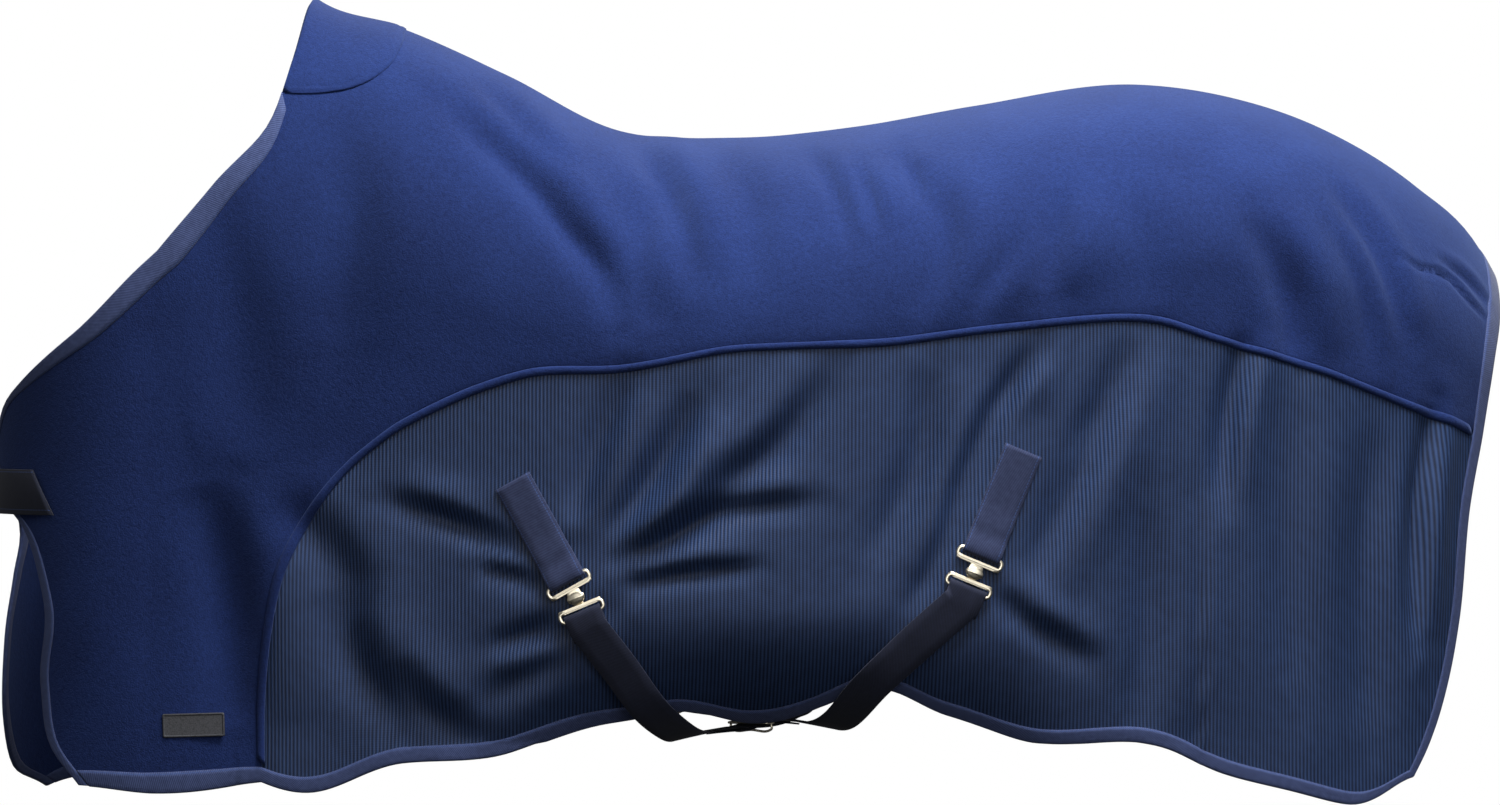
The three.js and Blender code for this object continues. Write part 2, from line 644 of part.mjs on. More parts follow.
function chestBand(fromAngle, toAngle, steps, width, base, thickness, slant) {
  const middle = STRAP_Z * SCALE_Z;
  const rings = Array.from({ length: steps + 1 }, (_, i) => {
    const share = i / steps;
    const angle = fromAngle + (toAngle - fromAngle) * share;
    const lean = slant * (1 - share) ** 6;
    return [
      chestPoint(angle - lean, middle - width / 2, base), chestPoint(angle + lean, middle + width / 2, base),
      chestPoint(angle + lean, middle + width / 2, base + thickness),
      chestPoint(angle - lean, middle - width / 2, base + thickness),
    ];
  });
  return sweepRings(rings, [[0, 1, 2, 3]]);
}

const padAngle = THREE.MathUtils.radToDeg(PAD_LENGTH / chestRadius);
const padStart = NEAR_END_ANGLE + CHEST_STRAP_SLANT + PAD_END_ANGLE;
const padWidth = CHEST_STRAP_WIDTH - 2 * PAD_MARGIN;
addMesh("chest_strap", chestBand(NEAR_END_ANGLE, OFF_END_ANGLE, CHEST_STEPS, CHEST_STRAP_WIDTH,
  chestStrapBase, CHEST_STRAP_THICKNESS, CHEST_STRAP_SLANT), "webbing");
addMesh("chest_hook_pad", chestBand(padStart, padStart + padAngle, 4, padWidth, hookPadBase,
  PAD_THICKNESS, 0), "webbing");
addMesh("chest_loop_pad", chestBand(padStart, padStart + padAngle, 4, padWidth, patchBase,
  PAD_THICKNESS, 0), "tape");

// ---- surcingle hardware --------------------------------------------------------------------------
// Heights over the cloth's middle surface.
const jerseyFace = JERSEY_THICKNESS / 2 + 2 * GAP;
const backLayer = jerseyFace + WEBBING_THICKNESS / 2;
const loopRadius = BAR_DIAMETER / 2 + BAR_CLEARANCE + WEBBING_THICKNESS / 2;
const barHeight = backLayer + loopRadius;
const ringWidth = WEBBING_WIDTH + 2 * (LINK_WIDTH + LINK_CLEARANCE);
const barPitch = WINDOW_HEIGHT + BAR_DIAMETER;
const tongueEnd = barPitch + BAR_DIAMETER / 2 + TONGUE_LENGTH;
const slotCentre = tongueEnd - SLOT_LENGTH / 2 - SLOT_MARGIN;
const hookPitch = tongueEnd + HOOK_GAP + BAR_DIAMETER + WINDOW_HEIGHT;

function box(width, length, thickness, x, y, z) {
  const geometry = new THREE.BoxGeometry(width, length, thickness);
  geometry.translate(x, y, z);
  return geometry;
}

function bar(length, y) {
  const geometry = new THREE.CylinderGeometry(BAR_DIAMETER / 2, BAR_DIAMETER / 2, length, 10);
  geometry.rotateZ(Math.PI / 2);
  geometry.translate(0, y, 0);
  return geometry;
}

// The ring that the webbing loops through: a round bar, a flat bar and two end links.
function ring(roundBarAt, flatBarAt) {
  const middle = (roundBarAt + flatBarAt) / 2;
  const span = Math.abs(flatBarAt - roundBarAt) + BAR_DIAMETER;
  const linkAt = (ringWidth - LINK_WIDTH) / 2;
  return [
    bar(ringWidth - LINK_OVERLAP, roundBarAt),
    box(ringWidth - LINK_OVERLAP, BAR_DIAMETER, PLATE_THICKNESS, 0, flatBarAt, 0),
    box(LINK_WIDTH, span, PLATE_THICKNESS, -linkAt, middle, 0),
    box(LINK_WIDTH, span, PLATE_THICKNESS, linkAt, middle, 0),
  ];
}

function slotPlate() {
  const tongue = new THREE.Shape();
  tongue.moveTo(-TONGUE_WIDTH / 2, barPitch);
  tongue.lineTo(TONGUE_WIDTH / 2, barPitch);
  tongue.lineTo(TONGUE_WIDTH / 2, tongueEnd - TONGUE_WIDTH / 2);
  tongue.absarc(0, tongueEnd - TONGUE_WIDTH / 2, TONGUE_WIDTH / 2, 0, Math.PI, false);
  tongue.closePath();
  const hole = new THREE.Path();
  hole.moveTo(-SLOT_WIDTH / 2, slotCentre - SLOT_LENGTH / 2);
  hole.lineTo(-SLOT_WIDTH / 2, slotCentre + SLOT_LENGTH / 2);
  hole.lineTo(SLOT_WIDTH / 2, slotCentre + SLOT_LENGTH / 2);
  hole.lineTo(SLOT_WIDTH / 2, slotCentre - SLOT_LENGTH / 2);
  hole.closePath();
  tongue.holes.push(hole);
  const settings = { depth: PLATE_THICKNESS, bevelEnabled: false, curveSegments: 8 };
  const plate = new THREE.ExtrudeGeometry(tongue, settings);
  plate.translate(0, 0, -PLATE_THICKNESS / 2);
  return joined([...ring(0, barPitch), plate]);
}

function tHook() {
  const flatBarAt = hookPitch - barPitch;
  const neckTop = -PLATE_THICKNESS / 2 - BAR_CLEARANCE;
  const neckFrom = slotCentre - (SLOT_LENGTH - 2 * POST_CLEARANCE) / 2;
  const jogFrom = tongueEnd + JOG_GAP;
  const headBase = PLATE_THICKNESS / 2 + BAR_CLEARANCE;
  const head = new THREE.CylinderGeometry(HEAD_WIDTH / 2, HEAD_WIDTH / 2, HEAD_THICKNESS, 20);
  head.rotateX(Math.PI / 2);
  head.scale(HEAD_LENGTH / HEAD_WIDTH, 1, 1);
  head.translate(0, slotCentre, headBase + HEAD_THICKNESS / 2);
  const postHeight = headBase + HEAD_THICKNESS / 2 - (neckTop - NECK_THICKNESS / 2);
  const post = box(SLOT_WIDTH - 2 * POST_CLEARANCE, SLOT_LENGTH - 2 * POST_CLEARANCE, postHeight,
    0, slotCentre, neckTop - NECK_THICKNESS / 2 + postHeight / 2);
  const neck = box(NECK_WIDTH, flatBarAt - neckFrom, NECK_THICKNESS,
    0, (neckFrom + flatBarAt) / 2, neckTop - NECK_THICKNESS / 2);
  const jogHeight = PLATE_THICKNESS / 2 - (neckTop - NECK_THICKNESS);
  const jog = box(NECK_WIDTH, flatBarAt - jogFrom, jogHeight,
    0, (jogFrom + flatBarAt) / 2, neckTop - NECK_THICKNESS + jogHeight / 2);
  return joined([...ring(hookPitch, flatBarAt), neck, jog, post, head]);
}

// The slider: two lower bars and one upper bar, joined beside the webbing.
function slider() {
  const low = -WEBBING_THICKNESS / 2 - SLIDER_CLEARANCE - SLIDER_WIRE / 2;
  const side = (WEBBING_WIDTH + SLIDER_WIRE) / 2 + SLIDER_SIDE_PLAY;
  const reach = 2 * side + SLIDER_WIRE;
  const ends = (SLIDER_LENGTH - SLIDER_WIRE) / 2;
  const tall = 2 * Math.abs(low) + SLIDER_WIRE;
  return joined([
    box(reach, SLIDER_WIRE, SLIDER_WIRE, 0, -ends, low), box(reach, SLIDER_WIRE, SLIDER_WIRE, 0, ends, low),
    box(reach, SLIDER_WIRE, SLIDER_WIRE, 0, 0, -low),
    box(SLIDER_WIRE, SLIDER_LENGTH, SLIDER_WIRE, -side, 0, low),
    box(SLIDER_WIRE, SLIDER_LENGTH, SLIDER_WIRE, side, 0, low),
    box(SLIDER_WIRE, SLIDER_WIRE, tall, -side, 0, 0), box(SLIDER_WIRE, SLIDER_WIRE, tall, side, 0, 0),
  ]);
}

// ---- surcingles ----------------------------------------------------------------------------------
// A loop of webbing round a bar at (0, at, barHeight) in the surface frame: "way" is +1 when the
// webbing arrives from below in Y (a tab) and -1 when it leaves upwards in Y (a strap).
function loopPoints(at, way, play) {
  const points = [];
  for (let i = 0; i <= 8; i += 1) {
    const turn = (Math.PI * i) / 8;
    const reach = (loopRadius + play) * Math.sin(turn);
    points.push(new THREE.Vector3(0, at + way * reach, barHeight + loopRadius * Math.cos(turn)));
  }
  return points;
}

// side: [x, z] that the strap crosses on the cloth; under: [x, y, z] that it passes below the belly.
const SURCINGLES = [
  { name: "front", bar: [-226, -513], turn: 0.52, hookTurn: -0.12, tabLength: FRONT_TAB_LENGTH,
    side: [[-166, -611], [-132, -652]], under: [[-100, -236, -688], [-56, -125, -694]],
    centre: [2, 0, -698], patch: [-258, -455], sliderAt: 0 },
  { name: "rear", bar: [237, -483], turn: -0.39, hookTurn: 0, tabLength: REAR_TAB_LENGTH,
    side: [[160, -585], [118, -622]], under: [[84, -256, -674], [46, -130, -683]],
    centre: [2, 0, -687], patch: [258, -432], sliderAt: 160 },
];
const TAB_STEPS = 8;
// The near half of each surcingle ends at this y, on top of the belly half, which starts before it
// and comes up to the strap's own line over the splice's length.
const SPLICE_Y = -60;
const SPLICE_LAP = 28;
const SPLICE_RISE = 26;
const SPLICE_LAYER = WEBBING_THICKNESS + 3 * GAP;
const PATH_POINTS = 120;
const PATH_STEP = 3;
const scaled = ([x, y, z]) => new THREE.Vector3(x * SCALE_X, y * SCALE_Y, z * SCALE_Z);
const onCloth = (drawn, side, height) => {
  const { point, normal } = lift(develop(drawn), side);
  return point.addScaledVector(normal, height);
};

// The direction across a strap: square to its path, and flat on the cloth above CLOTH_END_Z or square to
// the line from the belly's own axis below UNDER_BELLY_Z.
const CLOTH_END_Z = -630;
const UNDER_BELLY_Z = -690;
function acrossAt(path, i) {
  const before = path[Math.max(i - 1, 0)];
  const after = path[Math.min(i + 1, path.length - 1)];
  const { x, y, z } = path[i];
  const out = new THREE.Vector3(0, y, z - BELLY_AXIS_Z * SCALE_Z).normalize();
  const { normal } = lift(develop([x / SCALE_X, Math.max(z / SCALE_Z, CLOTH_END_Z)]), Math.sign(y));
  out.lerp(normal, THREE.MathUtils.smoothstep(z / SCALE_Z, UNDER_BELLY_Z, CLOTH_END_Z));
  return after.clone().sub(before).cross(out).normalize();
}

for (const [index, item] of SURCINGLES.entries()) {
  const barAnchor = lift(develop(item.bar), -1);
  const frame = surfaceFrame(barAnchor, item.turn);
  const across = new THREE.Vector3(1, 0, 0);

  // Tab: the front layer comes down over the bar, turns under it and runs back up beneath.
  const rise = (t) => THREE.MathUtils.smoothstep(t, 0, 1);
  const tabPath = [];
  for (let i = 0; i < TAB_STEPS; i += 1) {
    const y = -item.tabLength + ((item.tabLength - TAB_LAST_CELL) * i) / (TAB_STEPS - 1);
    const climb = rise((y + TAB_RETURN + TAB_LEAD) / TAB_CLIMB) * (WEBBING_THICKNESS + GAP);
    const crownHeight = barHeight + loopRadius - backLayer - WEBBING_THICKNESS - GAP;
    const crown = rise((y + TAB_LEAD) / CROWN_CLIMB) * crownHeight;
    tabPath.push(new THREE.Vector3(0, y, backLayer + climb + crown + clothHeight(y, frame)));
  }
  tabPath.push(...loopPoints(0, 1, 0));
  for (let i = 1; i <= 3; i += 1) {
    const y = (-TAB_RETURN * i) / 3;
    tabPath.push(new THREE.Vector3(0, y, backLayer + clothHeight(y, frame)));
  }
  const tab = ribbon(tabPath, tabPath.map(() => across), WEBBING_WIDTH, WEBBING_THICKNESS);
  placed(`${item.name}_tab`, tab, frame, "webbing");

  const lifted = frame.clone().multiply(new THREE.Matrix4().makeTranslation(0, 0, barHeight));
  placed(`${item.name}_slot_plate`, slotPlate(), lifted, "metal");
  const pivot = new THREE.Matrix4().makeTranslation(0, slotCentre, 0);
  const turned = new THREE.Matrix4().makeRotationZ(item.hookTurn);
  const swivel = pivot.clone().multiply(turned).multiply(pivot.clone().invert());
  placed(`${item.name}_t_hook`, tHook(), lifted.clone().multiply(swivel), "metal");

  // The strap: a loop round the hook's bar, down the side, under the belly and up the off side.
  const hookFrame = frame.clone().multiply(swivel);
  const start = loopPoints(hookPitch, -1, SWIVEL_PLAY).map((p) => p.applyMatrix4(hookFrame)).reverse();
  const tail = new THREE.Vector3(0, hookPitch + STRAP_RETURN, backLayer).applyMatrix4(hookFrame);
  const leaveHeight = barHeight + loopRadius - STRAP_LEAVE_DROP;
  const leave = new THREE.Vector3(0, hookPitch + STRAP_LEAVE, leaveHeight).applyMatrix4(hookFrame);
  const centre = scaled(item.centre);
  const opposite = SURCINGLES[1 - index];
  const fall = (item.centre[2] - opposite.centre[2]) * SCALE_Z;
  const lifts = [STRAP_LIFT, HEM_LIFT];
  const nearSide = item.side.map((p, k) => onCloth(p, -1, lifts[k]));
  const nearGuide = [leave, ...nearSide, ...item.under.map(scaled), centre];
  const farUnder = opposite.under.map(([x, y, z]) => scaled([x, -y, z])).reverse();
  farUnder[0].z += fall;
  farUnder[1].z += fall / 2;
  const farLifts = [HEM_LIFT, STRAP_LIFT, (2 * STRAP_LIFT + END_LIFT) / 3, END_LIFT];
  const farSide = [opposite.patch, opposite.bar, ...opposite.side].reverse()
    .map((p, k) => onCloth(p, 1, farLifts[k]));
  const whole = new THREE.CatmullRomCurve3([...nearGuide, ...farUnder, ...farSide], false, "centripetal");
  const dense = whole.getSpacedPoints(PATH_POINTS).filter((_, i) => i % PATH_STEP === 0);
  const acrossDense = dense.map((_, i) => acrossAt(dense, i));
  const split = dense.findIndex((p) => p.y > SPLICE_Y);
  const farStart = dense.findIndex((p) => p.y > SPLICE_Y - SPLICE_LAP);
  const nearPath = dense.slice(0, split);
  const farPath = dense.slice(farStart).map((p) => {
    const drop = SPLICE_LAYER * (1 - THREE.MathUtils.smoothstep(p.y, SPLICE_Y, SPLICE_Y + SPLICE_RISE));
    return p.clone().setZ(p.z - drop);
  });
  const farAcross = acrossDense.slice(farStart);

  const barAcross = across.clone().transformDirection(hookFrame).negate();
  const strapPath = [tail, ...start, ...nearPath];
  const strapAcross = strapPath.map((_, i) => {
    const k = i - start.length - 1;
    if (k < 1) return barAcross.clone();
    const own = acrossDense[k].clone();
    if (own.dot(barAcross) < 0) own.negate();
    return barAcross.clone().lerp(own, Math.min(1, k / 3)).normalize();
  });
  addMesh(`${item.name}_strap`, ribbon(strapPath, strapAcross, WEBBING_WIDTH, WEBBING_THICKNESS), "webbing");
  addMesh(`${item.name}_belly_strap`,
    ribbon(farPath, farAcross, WEBBING_WIDTH, WEBBING_THICKNESS), "webbing");

  const at = farPath.reduce((best, p, i) => (
    Math.abs(p.y - item.sliderAt) < Math.abs(farPath[best].y - item.sliderAt) ? i : best), 1);
  const along = farPath[at + 1].clone().sub(farPath[at - 1]).normalize();
  const side = farAcross[at].clone();
  const up = side.clone().cross(along).normalize();
  const sliderFrame = new THREE.Matrix4().makeBasis(side, along, up).setPosition(farPath[at]);
  placed(`${item.name}_slider`, slider(), sliderFrame, "metal");

  const patchFrame = surfaceFrame(lift(develop(opposite.patch), 1), opposite.turn);
  const patch = new THREE.BoxGeometry(OFF_PATCH_SIZE, OFF_PATCH_SIZE, WEBBING_THICKNESS);
  patch.translate(0, 0, END_LIFT + WEBBING_THICKNESS + END_PATCH_GAP);
  placed(`${opposite.name}_off_patch`, patch, patchFrame, "webbing");
}

// How far the cloth stands out of the frame's own plane at a height y down its middle line.
function clothHeight(y, frame) {
  const point = new THREE.Vector3(0, y, 0).applyMatrix4(frame);
  const drawn = [point.x / SCALE_X, point.z / SCALE_Z];
  const { point: cloth, normal } = lift(develop(drawn), -1);
  const origin = new THREE.Vector3().setFromMatrixPosition(frame);
  const out = new THREE.Vector3().setFromMatrixColumn(frame, 2);
  return cloth.sub(origin).dot(out) / Math.max(normal.dot(out), 0.5);
}

export default rug;
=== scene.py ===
"""Fleece cooler for a horse: the visual model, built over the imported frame.

The frame is in metres, +Z up, -X towards the head and -Y the near side. Shapes here are worked out
in millimetres and turned to metres when a mesh is made.
"""

import logging
import math
from dataclasses import dataclass
from enum import Enum

import bpy
import numpy as np
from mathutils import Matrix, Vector


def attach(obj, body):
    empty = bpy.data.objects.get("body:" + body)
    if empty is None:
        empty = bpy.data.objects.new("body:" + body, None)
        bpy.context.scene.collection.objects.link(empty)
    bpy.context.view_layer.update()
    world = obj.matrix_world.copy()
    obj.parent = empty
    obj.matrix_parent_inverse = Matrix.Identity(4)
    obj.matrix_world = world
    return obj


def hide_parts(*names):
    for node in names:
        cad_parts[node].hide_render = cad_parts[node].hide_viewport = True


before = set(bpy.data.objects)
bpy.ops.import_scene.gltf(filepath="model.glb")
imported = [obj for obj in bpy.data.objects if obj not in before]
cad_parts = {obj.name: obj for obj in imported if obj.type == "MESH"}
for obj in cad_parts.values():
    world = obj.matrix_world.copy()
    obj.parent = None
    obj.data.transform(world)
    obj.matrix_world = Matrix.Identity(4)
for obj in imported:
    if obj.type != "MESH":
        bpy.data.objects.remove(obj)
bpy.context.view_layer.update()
LOG = logging.getLogger("rug")
MM = 0.001
Array = np.ndarray
Piece = bpy.types.Object
Sweep = tuple[Array, bool]  # rings, and whether the last meets the first
Axes = tuple[Array, Array]  # a middle point, and rows that point across, down and out


class Side(Enum):
    """The two sides of the rug, by the sign of Y."""

    NEAR = -1
    OFF = 1


# ---- small helpers ---------------------------------------------------------------------------------
def linear(shade: str) -> tuple[float, float, float, float]:
    """Turn an sRGB hex colour into linear RGBA.

    Args:
        shade: colour such as "#1f2f66".

    Returns:
        Linear red, green, blue and an alpha of 1.
    """
    parts = (int(shade[i : i + 2], 16) / 255 for i in (1, 3, 5))
    red, green, blue = (c / 12.92 if c <= 0.04045 else ((c + 0.055) / 1.055) ** 2.4 for c in parts)
    return (red, green, blue, 1.0)


def node(
    tree: bpy.types.NodeTree, kind: str, inputs: dict | None = None, **settings: object
) -> bpy.types.Node:
    """Add a shader node, set its properties, and set or link its inputs.

    Args:
        tree: the node tree that takes it.
        kind: the node's type name.
        inputs: values or output sockets by input name or index.
        settings: properties of the node.

    Returns:
        The new node.
    """
    made = tree.nodes.new(kind)
    for key, value in settings.items():
        setattr(made, key, value)
    for key, value in (inputs or {}).items():
        if isinstance(value, bpy.types.NodeSocket):
            tree.links.new(value, made.inputs[key])
        else:
            made.inputs[key].default_value = value
    return made


def smooth(edge_a: float, edge_b: float, value: Array) -> Array:
    """Rise smoothly from 0 to 1, by 3t^2 - 2t^3.

    Args:
        edge_a: where the rise starts.
        edge_b: where it ends; it may lie below edge_a.
        value: where to read it.

    Returns:
        Numbers from 0 to 1, in the shape of value.
    """
    t = np.clip((value - edge_a) / (edge_b - edge_a), 0, 1)
    return t * t * (3 - 2 * t)


def unit(vectors: Array) -> Array:
    """Scale each vector of an array to length 1."""
    return vectors / np.maximum(np.linalg.norm(vectors, axis=-1, keepdims=True), 1e-9)


def hermite(knots: Array, values: Array, at: Array) -> Array:
    """Cubic curve through points; each slope is the weighted mean of its two neighbours'.

    Args:
        knots: rising positions of the points.
        values: one value or one row of values at each.
        at: where to read the curve. Outside the knots it goes on straight.

    Returns:
        The curve's values at those places.
    """
    knots, values, at = (np.asarray(a, float) for a in (knots, values, at))
    grades = np.gradient(values, knots, axis=0)
    i = np.clip(np.searchsorted(knots, at, side="right") - 1, 0, len(knots) - 2)
    span = knots[i + 1] - knots[i]
    t = (at - knots[i]) / span
    if values.ndim > 1:
        t, span = t[..., None], span[..., None]
    c = np.clip(t, 0, 1)
    curve = (2 * c**3 - 3 * c**2 + 1) * values[i] + (c**3 - 2 * c**2 + c) * span * grades[i]
    curve = curve + (3 * c**2 - 2 * c**3) * values[i + 1] + (c**3 - c**2) * span * grades[i + 1]
    return curve + np.where(t < 0, t * span * grades[i], 0) + np.where(
        t > 1, (t - 1) * span * grades[i + 1], 0
    )


class Outline:
    """A smooth line through points, read by its length."""

    def __init__(self, points: Array) -> None:
        """Measure the straight runs between the points.

        Args:
            points: (N, D) points that the line passes.
        """
        self.points = np.asarray(points, float)
        steps = np.linalg.norm(np.diff(self.points, axis=0), axis=1)
        self.knots = np.concatenate([[0], np.cumsum(steps)])
        self.length = float(self.knots[-1])

    def at(self, s: Array) -> Array:
        """Points of the line at the lengths s."""
        return hermite(self.knots, self.points, s)


# ---- the horse's shape and the drape ---------------------------------------------------------------
@dataclass(frozen=True)
class Barrel:
    """The horse's shape under the rug, as the frame's own panels have it (mm).

    A cloth point is (along, girth): along runs nose to tail, girth from the spine down. The top is a
    quarter ellipse, the flank is upright, and the chest is an ellipse seen from above.
    """

    crest: tuple = (
        (-900, 560), (-700, 350), (-600, 245), (-514, 159), (-411, 127), (-282, 69), (-167, 11),
        (-21, 0),
        (127, 14), (267, 39), (461, 65), (563, 52), (677, 15), (790, -52), (863, -117), (889, -159),
    )
    half_width: tuple = (
        (-700, 190), (-600, 202), (-500, 222), (-300, 270), (0, 320), (250, 330), (450, 322),
        (650, 292),
        (800, 238), (889, 160),
    )
    round_depth: tuple = (
        (-600, 420), (-500, 350), (-300, 300), (0, 260), (300, 230), (600, 220), (889, 200)
    )
    chest_x: float = -700
    chest_length: float = 185
    chest_half: float = 190
    tuck_share: float = 0.2
    tuck_top: float = -540
    tuck_fall: float = 120
    tuck_reach: float = 260

    @property
    def chest_radius(self) -> float:
        """Mean radius that turns an angle round the chest into a length."""
        return (self.chest_length + self.chest_half) / 2

    def profile(self, name: str, x: Array) -> Array:
        """Read one of the tables at x."""
        table = np.array(getattr(self, name), float)
        return hermite(table[:, 0], table[:, 1], x)

    def arc(self, x: Array) -> tuple[Array, Array]:
        """Depth and developed length of the rounded top at x.

        Args:
            x: places along the rug, in mm.

        Returns:
            Depths and lengths, in mm.
        """
        depth = self.profile("round_depth", x)
        half = self.profile("half_width", np.maximum(x, self.chest_x))
        return depth, math.pi / 2 * np.sqrt((depth**2 + half**2) / 2)

    def point(self, flat: Array) -> Array:
        """Place cloth points on the near side of the body.

        Args:
            flat: (..., 2) array of along and girth.

        Returns:
            (..., 3) array of x, y, z, with y at or below 0.
        """
        along, girth = flat[..., 0], flat[..., 1]
        angle = np.maximum(self.chest_x - along, 0) / self.chest_radius
        x = np.where(along >= self.chest_x, along, self.chest_x - self.chest_length * np.sin(angle))
        half = np.where(
            along >= self.chest_x, self.profile("half_width", along), self.chest_half * np.cos(angle)
        )
        depth, arc = self.arc(x)
        crest = self.profile("crest", x)
        turn = np.clip(girth / arc, -1, 1) * math.pi / 2
        z = crest - depth * (1 - np.cos(turn)) - np.maximum(girth - arc, 0)
        fall = np.clip((self.tuck_top - z) / self.tuck_fall, 0, 1.3)
        tuck = self.tuck_share * np.exp(-((x / self.tuck_reach) ** 2)) * fall**2
        y = -half * np.sin(turn) * np.where(girth > arc, 1 - tuck, 1)
        return np.stack([x, y, z], -1)

    def develop(self, drawn: Array) -> Array:
        """Cloth points (along, girth) that show at (x, z) from the side.

        Args:
            drawn: (..., 2) array of x and z in mm.

        Returns:
            (..., 2) array of along and girth.
        """
        drawn = np.asarray(drawn, float)
        x, z = drawn[..., 0], drawn[..., 1]
        depth, arc = self.arc(x)
        fall = self.profile("crest", x) - z
        bend = np.arccos(np.clip(1 - np.maximum(fall, 0) / depth, -1, 1)) / (math.pi / 2) * arc
        girth = np.where(fall > depth, arc + fall - depth, bend)
        share = np.clip((self.chest_x - x) / self.chest_length, 0, 1)
        along = np.where(x >= self.chest_x, x, self.chest_x - np.arcsin(share) * self.chest_radius)
        return np.stack([along, girth], -1)


@dataclass(frozen=True)
class Fold:
    """A soft valley along a line seen from the side, with a ridge on its left (mm)."""

    line: tuple
    depth: float
    width: float
    ridge: float = 0.55

    def height(self, x: Array, z: Array) -> Array:
        """Height of the fold over the smooth cloth.

        The valley is -depth * exp(-(s / width)^2) at the distance s from the line, the ridge is the
        same bump at 1.7 widths to the left, and both fade out towards the line's two ends.

        Args:
            x: places along the rug, in mm.
            z: heights, in mm.

        Returns:
            Heights in mm.
        """
        guide = Outline(self.line)
        dots = guide.at(np.linspace(0, guide.length, 15))
        a, run = dots[:-1], np.diff(dots, axis=0)
        p = np.stack([x, z], -1)[..., None, :]
        t = np.clip(((p - a) * run).sum(-1) / (run**2).sum(-1), 0, 1)
        gap = p - (a + t[..., None] * run)
        k = np.linalg.norm(gap, axis=-1).argmin(-1)[..., None]
        side = run[..., 0] * gap[..., 1] - run[..., 1] * gap[..., 0]
        near = np.take_along_axis(np.linalg.norm(gap, axis=-1), k, -1)[..., 0]
        s = near * np.sign(np.take_along_axis(side, k, -1)[..., 0])
        share = (k[..., 0] + np.take_along_axis(t, k, -1)[..., 0]) / len(a)
        fade = np.sin(np.clip(share, 0.02, 0.98) * math.pi) ** 0.7
        valley = np.exp(-((s / self.width) ** 2))
        crest = np.exp(-(((s - 1.7 * self.width) / (1.25 * self.width)) ** 2))
        return self.depth * fade * (self.ridge * crest - valley)


